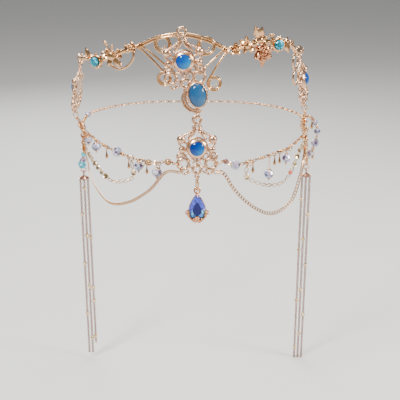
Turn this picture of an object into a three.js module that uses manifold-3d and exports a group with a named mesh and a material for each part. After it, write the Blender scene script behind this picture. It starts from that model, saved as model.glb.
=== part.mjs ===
// Head chain: a wire crown band with four filigree plaques, blossoms and swags of beads and fine chain.
// Millimetres, +Z up, -Y to the front, +X to the wearer's left.
// The origin is the centre of the head opening, level with the forehead plaque's stone.
import * as THREE from "three";
import { mergeVertices } from "three/addons/utils/BufferGeometryUtils.js";
import Module from "manifold-3d";

const wasm = await Module();
wasm.setup();

// Driving sizes
const GAP = 0.3; // between pieces that touch on the real thing
const CROWN = { centreX: -5, halfWidth: 76, front: 85.5 }; // plan of the wire band over the forehead
const SWAG = { centreX: -2, halfWidth: 82, front: 92 }; // plan of the plaque and swags on the forehead
const BACK = { centreX: -3, halfWidth: 80.5, front: 88, height: -7, sag: 6, start: 97 }; // round the back
const ARCH = { wire: 1.1, pitch: 1.5, bearing: -2.6, span: 39.5, foot: 58.6, rise: 8.6, tilt: 1.0 };
const COLLAR = { radius: 1.7, length: 3.4 };
const TWIG = { radius: 1.15, wire: 1.1 };
const STONE = { radius: 5, girdle: 1.2, dome: 3.2 };
const BEZEL = { wall: 1.0, floor: 0.8, height: 2.6 };
const PLAQUE = {
  size: 12.5, plate: 1.6, bar: 1.3, bite: 0.3, neckBite: 0.05,
  eyelet: 1.6, eyeletHole: 0.9, eyeletPlate: 0.8,
};
const OVAL = {
  halfWidth: 5, halfHeight: 7, roll: 10, forward: 5.8, lean: 4, wall: 1.0,
  hang: 3.58, eyeletDrop: 9.6, eyelet: 2.1, eyeletHole: 1.3,
};
const FLOWER = { stone: 3.4, petals: 8, petal: 1.5, plate: 0.9 };
const ROSE = { radius: 5.4, height: 3.6 };
const LEAF = { thick: 0.9 };
const LINK = { wire: 0.7, ring: 1.9, turn: 70 };
const DROP = { linkWire: 0.8, linkLength: 6.4, linkWidth: 2.6, linkTurn: -55, ring: 1.75, band: 1.1, plate: 0.6 };
const PEAR = { length: 17, halfWidth: 5.4, depth: 4.4, table: 0.52, wall: 0.6 };
const CHAIN = { bead: 0.55, sequin: 0.5, curb: 0.6, side: 0.75, tassel: 0.5, back: 0.6 };
const CRYSTAL = { radius: 3, hole: 0.65, pin: 0.3, head: 0.75 };
const DISC = { radius: 1.9, thick: 0.7 };
const BALL = { radius: 1.6 };
const STICK = { length: 7.5, radius: 0.75, neck: 0.4 };
const TASSEL = { left: 147.6, right: 154, spread: 2.8, cap: 3 };
const ROUND = { wire: 5, bead: 8, ring: 9 }; // sides of the facetted round forms

// Finishes
const gold = metal(0xd9ab7c, 0.28);
const roseGold = metal(0xc48f68, 0.34);
const blueGlass = glass(0x146ebe);
const paleBlueGlass = glass(0x3c6ea0);
const turquoiseGlass = glass(0x50b4c8);
const sapphireGlass = glass(0x465ac8);
const clearGlass = glass(0xdcdcf0);

function metal(color, roughness) {
  return new THREE.MeshStandardMaterial({ color, roughness, metalness: 1 });
}

function glass(color) {
  return new THREE.MeshStandardMaterial({ color, roughness: 0.08, metalness: 0 });
}

// Vectors and places
const V = (x, y, z) => new THREE.Vector3(x, y, z);
const rad = THREE.MathUtils.degToRad;
const UP = V(0, 0, 1);

// A point on an oval plan: bearing 0 is the front and +90 the +X side.
function onPlan(plan, bearing, height, out = 0) {
  const b = rad(bearing);
  const x = plan.centreX + (plan.halfWidth + out) * Math.sin(b);
  return V(x, -(plan.front + out) * Math.cos(b), height);
}

// The direction that faces away from the head at a bearing.
function outward(bearing) {
  return V(Math.sin(rad(bearing)), -Math.cos(rad(bearing)), 0);
}

// A matrix for a piece whose x is to the right, y up and z away from the head.
function facing(origin, bearing, lean = 0, roll = 0) {
  const z = outward(bearing);
  const x = V().crossVectors(UP, z).normalize();
  const turn = new THREE.Matrix4().makeBasis(x, UP, z).setPosition(origin);
  turn.multiply(new THREE.Matrix4().makeRotationX(rad(-lean)));
  return turn.multiply(new THREE.Matrix4().makeRotationZ(rad(roll)));
}

// Solids and booleans
function solid(geometry) {
  const bare = geometry.index ? geometry.toNonIndexed() : geometry.clone();
  bare.deleteAttribute("normal");
  bare.deleteAttribute("uv");
  const merged = mergeVertices(bare, 1e-4);
  const made = new wasm.Manifold(
    new wasm.Mesh({
      numProp: 3,
      vertProperties: new Float32Array(merged.attributes.position.array),
      triVerts: new Uint32Array(merged.index.array),
    }),
  );
  if (made.volume() < 0) throw new Error("a form is inside out");
  return made;
}

// One solid of every form given.
function weld(geometries) {
  return geometries.map(solid).reduce((all, one) => all.add(one)).asOriginal();
}

function cut(body, geometries) {
  return geometries.length ? body.subtract(weld(geometries)).asOriginal() : body;
}

function geometryOf(body) {
  const mesh = body.getMesh();
  const geometry = new THREE.BufferGeometry();
  geometry.setAttribute("position", new THREE.BufferAttribute(mesh.vertProperties, 3));
  geometry.setIndex(new THREE.BufferAttribute(mesh.triVerts, 1));
  return geometry;
}

const model = new THREE.Group();

function addPiece(name, body, material, parent = model) {
  const mesh = new THREE.Mesh(geometryOf(body), material);
  mesh.name = name;
  parent.add(mesh);
  return mesh;
}

function groupAt(matrix) {
  const group = new THREE.Group();
  group.applyMatrix4(matrix);
  model.add(group);
  return group;
}

// Basic forms
function at(geometry, x, y, z) {
  return geometry.translate(x, y, z);
}

function ball(radius, sides = ROUND.bead) {
  return new THREE.SphereGeometry(radius, sides, Math.round(sides / 2));
}

function torus(radius, wire, sides = ROUND.ring, section = ROUND.wire) {
  return new THREE.TorusGeometry(radius, wire, section, sides);
}

// A flat round plate from z = 0 up.
function puck(radius, thick, sides = ROUND.ring) {
  const form = new THREE.CylinderGeometry(radius, radius, thick, sides);
  return form.rotateX(Math.PI / 2).translate(0, 0, thick / 2);
}

// A turned form from [radius, height] pairs, standing along z.
function turned(profile, sides) {
  const points = profile.map(([r, z]) => new THREE.Vector2(r, z));
  return new THREE.LatheGeometry(points, sides).rotateX(Math.PI / 2);
}

// A bead that stands half out of a plate, from z = 0 up.
function dome(radius, sides = ROUND.bead) {
  return turned([[0, 0], [radius, 0], [0.85 * radius, 0.75 * radius], [0, 1.1 * radius]], sides);
}

// A round tube through points.
function tube(points, radius, steps, sides = ROUND.wire) {
  const curve = points.length > 2 ? new THREE.CatmullRomCurve3(points) : new THREE.LineCurve3(...points);
  return tubeOn(curve, radius, steps, sides);
}

function tubeOn(curve, radius, steps, sides = ROUND.wire) {
  const section = new THREE.Shape();
  for (let i = 0; i < sides; i++) {
    const a = (2 * Math.PI * i) / sides;
    if (i) section.lineTo(radius * Math.cos(a), radius * Math.sin(a));
    else section.moveTo(radius, 0);
  }
  return new THREE.ExtrudeGeometry(section, { steps, extrudePath: curve, bevelEnabled: false });
}

// A flat bar between two points of a plaque's plate.
function bar(x0, y0, x1, y1, width, thick) {
  const length = Math.hypot(x1 - x0, y1 - y0);
  const form = new THREE.BoxGeometry(length, width, thick).translate(length / 2, 0, thick / 2);
  return form.rotateZ(Math.atan2(y1 - y0, x1 - x0)).translate(x0, y0, 0);
}

// Rows of a leaf's form: shares of its length, half width and thickness.
const FULL_LEAF = [
  { along: 0.2, side: 0.55, ridge: 0.7 },
  { along: 0.5, side: 1.0, ridge: 1.0 },
  { along: 0.8, side: 0.6, ridge: 0.7 },
];
const SMALL_LEAF = [{ along: 0.5, side: 1.0, ridge: 1.0 }];

// A leaf along +y with a ridge, from its stalk to its tip.
function leaf(length, width, rows = SMALL_LEAF, thick = LEAF.thick) {
  const corners = [V(0, 0, 0)];
  for (const row of rows) {
    const w = (width / 2) * row.side;
    const y = row.along * length;
    const t = thick * row.ridge;
    corners.push(V(-w, y, 0), V(0, y, t), V(w, y, 0), V(0, y, -t / 2));
  }
  corners.push(V(0, length, 0));
  const faces = [];
  const last = corners.length - 1;
  for (let i = 0; i < 4; i++) {
    const j = (i + 1) % 4;
    faces.push(0, 1 + j, 1 + i);
    for (let r = 0; r < rows.length - 1; r++) {
      const a = 1 + 4 * r;
      faces.push(a + i, a + j, a + 4 + i, a + j, a + 4 + j, a + 4 + i);
    }
    faces.push(last, last - 4 + i, last - 4 + j);
  }
  const geometry = new THREE.BufferGeometry().setFromPoints(corners);
  geometry.setIndex(faces);
  return geometry;
}

// Petals set round a centre at a distance, tipped forward.
function whorl(count, inner, length, width, tip, start = 0) {
  const forms = [];
  for (let i = 0; i < count; i++) {
    const petal = leaf(length, width).rotateX(rad(tip)).translate(0, inner, 0);
    forms.push(petal.rotateZ(start + (2 * Math.PI * i) / count));
  }
  return forms;
}

// A plate with a scalloped edge, from z = 0 up.
function scalloped(radius, reach, count, thick) {
  const outline = new THREE.Shape();
  for (let i = 0; i < count; i++) {
    const middle = (2 * Math.PI * i) / count;
    const half = Math.PI / count;
    const corners = [[radius, -half], [radius + reach, -0.45 * half], [radius + reach, 0.45 * half]];
    for (const [r, turn] of corners) {
      const x = r * Math.cos(middle + turn);
      const y = r * Math.sin(middle + turn);
      if (outline.curves.length || i || turn > -half) outline.lineTo(x, y);
      else outline.moveTo(x, y);
    }
  }
  return new THREE.ExtrudeGeometry(outline, { depth: thick, bevelEnabled: false });
}

// Filigree plaque: a flat casting of rings, bars and beads round a bezel.
// Each row's x, y, radius and hole are shares of PLAQUE.size; rows with side: 2 are on both sides.
const PLAQUE_RINGS = [
  { x: 0, y: 1.34, radius: 0.25, hole: 0.11, side: 1 }, // top ring
  { x: 0.78, y: -0.44, radius: 0.22, hole: 0, side: 2 }, // upper boss
  { x: 0.68, y: -0.8, radius: 0.32, hole: 0.21, side: 2 }, // lower ring
  { x: 0, y: -1.07, radius: 0.28, hole: 0.11, side: 1 }, // bottom ring
  { x: 0.6, y: -1.18, radius: 0.14, hole: 0, side: 2 }, // foot bead
];
const PLAQUE_BEADS = [
  { x: 0.76, y: 0.42, radius: 0.18, side: 2 },
  { x: 0.72, y: -0.08, radius: 0.14, side: 2 },
];
const bezelRadius = STONE.radius + GAP + BEZEL.wall;
const barStart = (bezelRadius - PLAQUE.bite) / PLAQUE.size; // bars start inside the bezel's wall
const PLAQUE_BARS = [
  { x0: (PLAQUE.bar - PLAQUE.neckBite) / PLAQUE.size, y0: 1.0, x1: 0.7, y1: 0.5, side: 2 }, // shoulder
  { x0: barStart, y0: -0.05, x1: 0.72, y1: -0.08, side: 2 },
  { x0: 0.1, y0: -1.0, x1: 0.4, y1: -0.86, side: 2 }, // foot
  { x0: 0, y0: -barStart, x1: 0, y1: -0.85, side: 1 }, // stem
];
const ringRow = (x, y) => PLAQUE_RINGS.find((row) => row.x === x && row.y === y);
const LOWER_RING = ringRow(0.68, -0.8);
const BOTTOM_RING = ringRow(0, -1.07);

// The signs of x that a row stands for.
const sides = (row) => (row.side === 2 ? [-1, 1] : [1]);

const stoneSeat = BEZEL.floor + GAP;
const eyeletBand = (PLAQUE.eyelet + PLAQUE.eyeletHole) / 2;
const eyeletY = (BOTTOM_RING.y - BOTTOM_RING.radius) * PLAQUE.size - PLAQUE.eyeletHole - 0.2;

function bezel(radius) {
  const inner = radius - BEZEL.wall;
  const lip = BEZEL.height - 0.5;
  const profile = [[0, 0], [radius, 0], [radius, lip], [radius - 0.4, BEZEL.height]];
  return turned([...profile, [inner, BEZEL.height], [inner, BEZEL.floor], [0, BEZEL.floor]], 12);
}

// The ogee point between the bezel and the top ring.
function neckForm() {
  const foot = bezelRadius - BEZEL.wall / 2;
  const tip = (PLAQUE_RINGS[0].y - PLAQUE_RINGS[0].hole) * PLAQUE.size - 0.3;
  const outline = new THREE.Shape();
  outline.moveTo(-0.42 * foot, 0.98 * foot);
  outline.lineTo(0.42 * foot, 0.98 * foot);
  outline.quadraticCurveTo(0.15 * foot, 0.6 * tip, PLAQUE.bar / 2, tip);
  outline.lineTo(-PLAQUE.bar / 2, tip);
  outline.quadraticCurveTo(-0.15 * foot, 0.6 * tip, -0.42 * foot, 0.98 * foot);
  return new THREE.ExtrudeGeometry(outline, { depth: PLAQUE.plate, curveSegments: 2, bevelEnabled: false });
}

function plaqueBody() {
  const s = PLAQUE.size;
  const forms = [bezel(bezelRadius), neckForm()];
  const holes = [];
  for (const row of PLAQUE_RINGS) {
    for (const side of sides(row)) {
      const around = row.hole ? 9 : 7;
      forms.push(at(puck(row.radius * s, PLAQUE.plate, around), side * row.x * s, row.y * s, 0));
      if (!row.hole) continue;
      holes.push(at(puck(row.hole * s, 4 * PLAQUE.plate, 6), side * row.x * s, row.y * s, -PLAQUE.plate));
    }
  }
  for (const row of PLAQUE_BARS) {
    for (const side of sides(row)) {
      const ends = [side * row.x0 * s, row.y0 * s, side * row.x1 * s, row.y1 * s];
      forms.push(bar(...ends, PLAQUE.bar, PLAQUE.plate));
    }
  }
  for (const row of PLAQUE_BEADS) {
    for (const side of sides(row)) {
      forms.push(at(dome(row.radius * s, 6), side * row.x * s, row.y * s, 0));
    }
  }
  forms.push(at(puck(PLAQUE.eyelet, PLAQUE.eyeletPlate, 8), 0, eyeletY, 0));
  holes.push(at(puck(PLAQUE.eyeletHole, 4 * PLAQUE.plate, 8), 0, eyeletY, -PLAQUE.plate));
  return cut(weld(forms), holes);
}

function cabochonBody() {
  const { radius: r, girdle, dome } = STONE;
  const crown = [[0.92, 0.35], [0.72, 0.68], [0.42, 0.9]].map(([a, b]) => [a * r, girdle + b * dome]);
  const profile = [[0, 0], [0.9 * r, 0], [r, 0.3 * girdle], [r, girdle], ...crown, [0, girdle + dome]];
  return weld([turned(profile, 12).translate(0, 0, stoneSeat)]);
}

// Where each plaque stands: bearings in degrees on its plan, heights in millimetres.
const PLAQUES = {
  upper: { plan: CROWN, bearing: -2.0, height: 51.4, out: 0.9, turn: -3, lean: 0, roll: 3.6 },
  lower: { plan: SWAG, bearing: 1.4, height: 0, out: 0, turn: 1.4, lean: 3, roll: 0 },
  left: { plan: CROWN, bearing: -84.5, height: 19.4, out: 1.3, turn: -96, lean: 9, roll: 0 },
  right: { plan: CROWN, bearing: 81.8, height: 25.6, out: 0.9, turn: 72, lean: 8, roll: 0 },
};

for (const row of Object.values(PLAQUES)) {
  const origin = onPlan(row.plan, row.bearing, row.height, row.out);
  row.matrix = facing(origin, row.turn, row.lean, row.roll);
}

// A plaque's own point, in shares of its size, in the whole model's frame.
function onPlaque(name, x, y, z = PLAQUE.plate / 2) {
  const point = V(x * PLAQUE.size, y * PLAQUE.size, z);
  return point.applyMatrix4(PLAQUES[name].matrix);
}

function plaqueDirection(name, x, y, z) {
  return V(x, y, z).transformDirection(PLAQUES[name].matrix);
}

for (const [name, row] of Object.entries(PLAQUES)) {
  const group = groupAt(row.matrix);
  addPiece(`${name}_plaque`, plaqueBody(), gold, group);
  addPiece(`${name}_cabochon`, cabochonBody(), blueGlass, group);
}

// Front arch: two wires over the forehead, two pairs of wires down to the plaque and their curls.
const archAt = (share, drop = 0) => {
  const bearing = ARCH.bearing + (share * ARCH.span) / 2;
  const height = ARCH.foot + ARCH.rise * (1 - share * share) - ARCH.tilt * share;
  return onPlan(CROWN, bearing, height - drop);
};
// Curls on the lower arch wire and the struts: height above the arch's foot, radius of the curl and its wire.
const CURLS = [
  { bearing: -11.6, height: 2.0, radius: 4.4, wire: 0.9 },
  { bearing: 7.9, height: 1.1, radius: 4.8, wire: 0.9 },
  { bearing: 11.6, height: -21.4, radius: 3.8, wire: 0.55 },
  { bearing: -11.0, height: -18.4, radius: 3.7, wire: 0.55 },
];
// Struts run from the arch's feet to the plaque: their lower ends by bearing and height below the foot.
const STRUTS = [
  { foot: -1, drop: -0.2, bearing: -9.6, height: -11.2 },
  { foot: -1, drop: 1.7, bearing: -10.4, height: -15.4 },
  { foot: 1, drop: -0.2, bearing: 6.6, height: -12.5 },
  { foot: 1, drop: 1.7, bearing: 8.4, height: -20.2 },
];

// A short sleeve round wires, along a direction.
function collar(centre, direction) {
  const form = new THREE.CylinderGeometry(COLLAR.radius, COLLAR.radius, COLLAR.length, 8);
  form.applyQuaternion(new THREE.Quaternion().setFromUnitVectors(V(0, 1, 0), direction));
  return form.translate(centre.x, centre.y, centre.z);
}

function ringOnPlan(plan, bearing, height, radius, wire, out = 0, count = ROUND.ring) {
  return torus(radius, wire, count).applyMatrix4(facing(onPlan(plan, bearing, height, out), bearing));
}

function archBody() {
  const wires = [0, ARCH.pitch].map((drop) => {
    const points = [-1, -0.6, -0.2, 0.2, 0.6, 1].map((share) => archAt(share, drop));
    return tube(points, ARCH.wire / 2, 8);
  });
  const feet = [-1, 1].map((end) => {
    const along = archAt(end, ARCH.pitch / 2).sub(archAt(0.95 * end, ARCH.pitch / 2)).normalize();
    return collar(archAt(end, ARCH.pitch / 2), along);
  });
  const struts = STRUTS.map((row) => {
    const low = onPlan(CROWN, row.bearing, ARCH.foot + row.height);
    return tube([archAt(row.foot, row.drop), low], ARCH.wire / 2, 1);
  });
  const curls = CURLS.map((row) =>
    ringOnPlan(CROWN, row.bearing, ARCH.foot + row.height, row.radius, row.wire));
  return weld([...wires, ...feet, ...struts, ...curls]);
}
addPiece("front_arch", archBody(), gold);

// Branches of the band, from the arch's feet to the side plaques, as bearings and heights.
const BRANCHES = {
  left: [
    { bearing: -24.6, height: 58.2 },
    { bearing: -29, height: 56 },
    { bearing: -35, height: 52.6 },
    { bearing: -42, height: 48.6 },
    { bearing: -50, height: 46.6 },
    { bearing: -60, height: 45.4 },
    { bearing: -71, height: 43 },
    { bearing: -78, height: 42.4 },
  ],
  right: [
    { bearing: 20, height: 57.6 },
    { bearing: 26, height: 59 },
    { bearing: 33, height: 60 },
    { bearing: 41, height: 59 },
    { bearing: 50, height: 57.6 },
    { bearing: 60, height: 52.6 },
    { bearing: 67, height: 47.5 },
    { bearing: 74, height: 47.8 },
  ],
};
// Loose loops of wire along the branches: bearings and heights of their points.
const HOOKS = {
  left: [
    [-26, 56.6], [-25.8, 51.5], [-28.8, 46.4], [-33.5, 43.6], [-38, 44.6], [-41, 48.2],
  ],
  right: [
    [47, 57.8], [55, 57.4], [61.5, 51.8], [65.5, 46.8],
  ],
};

// Closed curls of wire that hang on from a branch: bearing, height and radius of each ring.
const SIDE_CURLS = {
  left: [],
  right: [
    { bearing: 65, height: 42.4, radius: 5 },
    { bearing: 66.5, height: 31.6, radius: 5.4 },
  ],
};

// A branch ends in a ring through the top ring of its side plaque.
const BRANCH_RING = { radius: 2.6, rise: 0.7 };
const topBand = PLAQUE_RINGS[0].y + (PLAQUE_RINGS[0].radius + PLAQUE_RINGS[0].hole) / 2;
function branchEnd(side) {
  const up = plaqueDirection(side, 0, 1, 0);
  const centre = onPlaque(side, 0, topBand).addScaledVector(up, BRANCH_RING.rise);
  return { centre, up, top: centre.clone().addScaledVector(up, BRANCH_RING.radius) };
}

function branchBody(side) {
  const end = branchEnd(side);
  const twig = [...BRANCHES[side].map((row) => onPlan(CROWN, row.bearing, row.height)), end.top];
  const hook = HOOKS[side].map(([bearing, height]) => onPlan(CROWN, bearing, height));
  const curls = SIDE_CURLS[side].map((row) =>
    ringOnPlan(CROWN, row.bearing, row.height, row.radius, TWIG.wire / 2));
  const ring = ringIn(end.centre, end.up, plaqueDirection(side, 0, 0, 1), BRANCH_RING.radius, LINK.wire);
  return weld([tube(twig, TWIG.radius, 12), tube(hook, TWIG.wire / 2, 8), ring, ...curls]);
}
for (const side of ["left", "right"]) addPiece(`${side}_branch`, branchBody(side), gold);

// Leaves, buds and blossoms stand on the branches: out is from the branch's middle.
const onTwig = TWIG.radius + GAP;

function blossomBody(length, tip = 25) {
  const petals = whorl(5, 0.22 * length, 0.8 * length, 0.7 * length, tip);
  return weld([...petals, turned([[0, 0], [0.4 * length, 0], [0.34 * length, 1.2], [0, 1.6]], 8)]);
}

function placeOnTwig(name, body, material, row) {
  const origin = onPlan(CROWN, row.bearing, row.height, row.out ?? onTwig);
  const group = groupAt(facing(origin, row.bearing, row.lean ?? 0, row.roll ?? 0));
  return addPiece(name, body, material, group);
}

// A spray: leaves and buds on a small plate, as rows of x, y, length, width, turn and bud radius.
function sprayBody(rows, plate) {
  const forms = [puck(plate, LEAF.thick, 8)];
  for (const row of rows) {
    const form = leaf(row.length, row.width, row.width > 4 ? FULL_LEAF : SMALL_LEAF);
    forms.push(form.rotateX(rad(14)).translate(0, plate / 2, 0).rotateZ(rad(row.turn)));
    if (row.bud) {
      const tip = V(0, 0.94 * row.length + plate / 2, 0.25 * row.length).applyAxisAngle(UP, rad(row.turn));
      forms.push(at(ball(row.bud, 6), tip.x, tip.y, tip.z));
    }
  }
  return weld(forms);
}
const LEFT_SPRAY = [
  { turn: 18, length: 8.6, width: 2.2, bud: 1.1 },
  { turn: -12, length: 6, width: 2.2, bud: 1 },
  { turn: -50, length: 6, width: 2.4, bud: 1 },
  { turn: 62, length: 5, width: 3 },
  { turn: 112, length: 5, width: 3 },
  { turn: -128, length: 7.6, width: 4.6 },
];
const RIGHT_SPRAY = [
  { turn: 12, length: 5.6, width: 3 },
  { turn: 62, length: 6, width: 3 },
  { turn: -80, length: 6, width: 2.8 },
];
const UPPER_SPRAY = [
  { turn: 24, length: 8.2, width: 4.8 },
  { turn: -20, length: 6.4, width: 3.4 },
  { turn: -66, length: 7, width: 2.6, bud: 1.2 },
];
placeOnTwig("left_blossom", blossomBody(3.4), gold, { bearing: -25.5, height: 58.2, out: 2 });
placeOnTwig("right_blossom", blossomBody(4.2), gold, { bearing: 20.8, height: 57.6, out: 2 });
placeOnTwig("left_spray", sprayBody(LEFT_SPRAY, 2.4), gold, { bearing: -37.5, height: 51 });
placeOnTwig("right_spray", sprayBody(RIGHT_SPRAY, 1.8), gold, { bearing: 27, height: 58.8 });
placeOnTwig("upper_spray", sprayBody(UPPER_SPRAY, 1.8), gold, { bearing: 33.6, height: 61.4 });

// Rose: two rings of petals round a bud.
function roseBody() {
  const r = ROSE.radius;
  const outer = scalloped(0.8 * r, 0.2 * r, 5, 1.1);
  const inner = scalloped(0.55 * r, 0.18 * r, 5, 0.7 * ROSE.height).rotateZ(Math.PI / 5);
  const heart = turned([[0, 0], [0.4 * r, 0], [0.34 * r, ROSE.height], [0, 0.7 * ROSE.height]], 10);
  return weld([outer, inner, heart, leaf(1.35 * r, 0.5 * r, FULL_LEAF).rotateZ(Math.PI)]);
}

// Rhinestone flowers: a cup with petals, prongs and a cut stone.
function flowerSetting() {
  const r = FLOWER.stone + GAP;
  const prongs = [];
  for (let i = 0; i < 4; i++) {
    const a = Math.PI / 4 + (i * Math.PI) / 2;
    const prong = new THREE.BoxGeometry(0.7, 0.7, 2.6).translate(r + 0.35, 0, 1.3);
    prongs.push(prong.rotateZ(a));
  }
  return weld([scalloped(r, FLOWER.petal, FLOWER.petals, FLOWER.plate), ...prongs]);
}

// A round cut stone: table, eight crown facets, girdle and a flat back, from z = 0 up.
function cutStone(radius, depth, sidesOfStone = 8) {
  const profile = [[0, 0], [0.7 * radius, 0], [radius, 0.45 * depth], [radius, 0.55 * depth]];
  return turned([...profile, [0.62 * radius, depth], [0, depth]], sidesOfStone);
}

const petalTop = FLOWER.plate + GAP + 0.25;
const FLOWERS = {
  left: { bearing: -48.5, height: 45.9, lean: 0 },
  right: { bearing: 45, height: 57, lean: 0 },
};
for (const [side, row] of Object.entries(FLOWERS)) {
  placeOnTwig(`${side}_flower_setting`, flowerSetting(), gold, row);
  const stone = weld([at(cutStone(FLOWER.stone - 0.5, 2), 0, 0, petalTop)]);
  placeOnTwig(`${side}_flower_stone`, stone, turquoiseGlass, row);
}
placeOnTwig("rose", roseBody(), gold, { bearing: 35.4, height: 53.6 });
const FLOWER_LEAVES = [
  { name: "left_flower_leaf", bearing: -55, height: 46.4, roll: 20, length: 7, width: 4 },
  { name: "right_flower_leaf", bearing: 51, height: 57.2, roll: 200, length: 7, width: 4.6 },
];
for (const row of FLOWER_LEAVES) {
  placeOnTwig(row.name, weld([leaf(row.length, row.width, FULL_LEAF)]), gold, { ...row, out: onTwig + 0.2 });
}

// Oval stone between the two front plaques, with a double crescent of wire round its left and foot.
// The oval stands so far over the lower plaque that the ring between their bands fits.
const ovalHeight = onPlaque("lower", 0, topBand).z + OVAL.hang + OVAL.eyeletDrop;
const ovalMatrix = facing(onPlan(CROWN, 3.8, ovalHeight, OVAL.forward), 0, OVAL.lean);
const ovalGroup = groupAt(ovalMatrix);
// The crescents' points as shares of the setting's half width and half height.
const CRESCENTS = [
  [[-1.05, 0.42], [-1.42, -0.12], [-1.36, -0.62], [-0.88, -1.08], [-0.16, -1.22], [0.4, -1.08]],
  [[-1.02, 0.38], [-1.16, -0.24], [-0.96, -0.76], [-0.44, -1.06], [0.24, -1.06]],
];
// The upper plaque's eyelet, the ring that hangs in it and the oval's own loop in that ring.
const upperEye = onPlaque("upper", 0, (eyeletY - eyeletBand) / PLAQUE.size, PLAQUE.eyeletPlate / 2);
const ringStep = 2 * LINK.ring - LINK.wire - GAP - 0.1;
const hungRing = upperEye.clone().setZ(upperEye.z - LINK.ring + eyeletBand);
const ovalLoop = hungRing.clone().setZ(hungRing.z - ringStep);
const intoOval = ovalMatrix.clone().invert();

function ovalOutline(radiusX, radiusY, thick, sidesOfOval = 12) {
  return puck(1, thick, sidesOfOval).scale(radiusX, radiusY, 1).rotateZ(rad(OVAL.roll));
}

function ovalSetting() {
  const rx = OVAL.halfWidth + GAP + OVAL.wall;
  const ry = OVAL.halfHeight + GAP + OVAL.wall;
  const cup = ovalOutline(rx, ry, BEZEL.height);
  const hollow = ovalOutline(rx - OVAL.wall, ry - OVAL.wall, 2 * BEZEL.height).translate(0, 0, BEZEL.floor);
  const wires = CRESCENTS.map((points) => {
    const route = points.map(([x, y]) => V(x * rx, y * ry, ARCH.wire / 2));
    return tube(route, ARCH.wire / 2, 6);
  });
  const plate = at(puck(OVAL.eyelet, PLAQUE.eyeletPlate, 9), 0, -OVAL.eyeletDrop, 0);
  const hole = at(puck(OVAL.eyeletHole, 4 * PLAQUE.plate, 8), 0, -OVAL.eyeletDrop, -PLAQUE.plate);
  const loop = ringIn(ovalLoop, UP, V(1, 0, 0), LINK.ring, LINK.wire).applyMatrix4(intoOval);
  const foot = ovalLoop.clone().setZ(ovalLoop.z - LINK.ring).applyMatrix4(intoOval);
  const arm = tube([foot, V(-0.55 * rx, foot.y, BEZEL.floor / 2)], LINK.wire / 2, 1);
  return cut(weld([cup, ...wires, plate, loop, arm]), [hollow, hole]);
}

function ovalStone() {
  const rows = [[0, 0.9], [0.4, 1], [STONE.girdle, 1], [STONE.girdle + 0.5 * STONE.dome, 0.78]];
  const profile = [...rows, [STONE.girdle + 0.85 * STONE.dome, 0.45]].map(([z, r]) => [r, z]);
  const form = turned([[0, 0], ...profile, [0, STONE.girdle + STONE.dome]], 12);
  form.scale(OVAL.halfWidth, OVAL.halfHeight, 1).rotateZ(rad(OVAL.roll));
  return weld([form.translate(0, 0, stoneSeat)]);
}
addPiece("oval_setting", ovalSetting(), gold, ovalGroup);
addPiece("oval_cabochon", ovalStone(), paleBlueGlass, ovalGroup);

// Jump rings through two eyelets: the ring stands across the line between their bands.
function jumpRing(name, from, to, reachFrom, reachTo) {
  const along = to.clone().sub(from).normalize();
  const middle = from.clone().add(to).multiplyScalar(0.5).addScaledVector(along, (reachTo - reachFrom) / 2);
  const radius = (from.distanceTo(to) + reachFrom + reachTo + LINK.wire) / 2 + GAP;
  addPiece(name, weld([ringIn(middle, along, V(0, 1, 0), radius, LINK.wire)]), gold);
}
const bandReach = { eyelet: 0.85, topRing: 1.4 }; // from a band's middle to its farthest corner
const inOval = (x, y) => V(x, y, PLAQUE.eyeletPlate / 2).applyMatrix4(ovalMatrix);
const ovalFoot = inOval(0, -OVAL.eyeletDrop - (OVAL.eyelet + OVAL.eyeletHole) / 2);
jumpRing("lower_jump_ring", ovalFoot, onPlaque("lower", 0, topBand), bandReach.eyelet, bandReach.topRing);
addPiece("upper_jump_ring", weld([ringIn(hungRing, UP, V(0, 1, 0), LINK.ring, LINK.wire)]), gold);

// Pear drop on a long link. All heights here are below the band of the lower plaque's eyelet.
const dropOrigin = onPlaque("lower", 0, (eyeletY - eyeletBand) / PLAQUE.size, PLAQUE.eyeletPlate / 2);
const dropGroup = groupAt(facing(dropOrigin, 0));
const eyeletHalf = (PLAQUE.eyelet - PLAQUE.eyeletHole) / 2;
const jumpCentre = -(LINK.ring - LINK.wire / 2 - eyeletHalf - GAP - 0.25);
const linkTop = jumpCentre - LINK.ring + LINK.wire / 2 + DROP.linkWire / 2 + GAP + 0.2;
const linkFoot = linkTop - DROP.linkLength;
const pearRing = linkFoot + DROP.linkWire / 2 + DROP.band / 2 + GAP + 0.4 - DROP.ring;
const pearTop = pearRing - DROP.ring - DROP.band / 2 - GAP - 0.05;

function longLink() {
  const half = DROP.linkWidth / 2;
  const points = [];
  for (let i = 0; i < 16; i++) {
    const a = (2 * Math.PI * i) / 16;
    const y = (DROP.linkLength / 2 - half) * Math.sign(Math.round(4 * Math.sin(a))) + half * Math.sin(a);
    points.push(V(half * Math.cos(a), y, 0));
  }
  return loopTube(points, DROP.linkWire / 2).translate(0, (linkTop + linkFoot) / 2, 0);
}

// A closed wire through points in the xy plane.
function loopTube(points, radius, section = ROUND.wire) {
  const count = points.length;
  const corners = [];
  for (let i = 0; i < count; i++) {
    const along = points[(i + 1) % count].clone().sub(points[(i + count - 1) % count]).normalize();
    const side = V(along.y, -along.x, 0);
    for (let j = 0; j < section; j++) {
      const a = (2 * Math.PI * j) / section;
      const corner = points[i].clone().addScaledVector(side, radius * Math.cos(a));
      corners.push(corner.setZ(corner.z + radius * Math.sin(a)));
    }
  }
  const faces = [];
  for (let i = 0; i < count; i++) {
    for (let j = 0; j < section; j++) {
      const [a, b] = [i * section + j, i * section + ((j + 1) % section)];
      const [c, d] = [((i + 1) % count) * section + j, ((i + 1) % count) * section + ((j + 1) % section)];
      faces.push(a, c, b, b, c, d);
    }
  }
  return new THREE.BufferGeometry().setFromPoints(corners).setIndex(faces);
}

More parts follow.
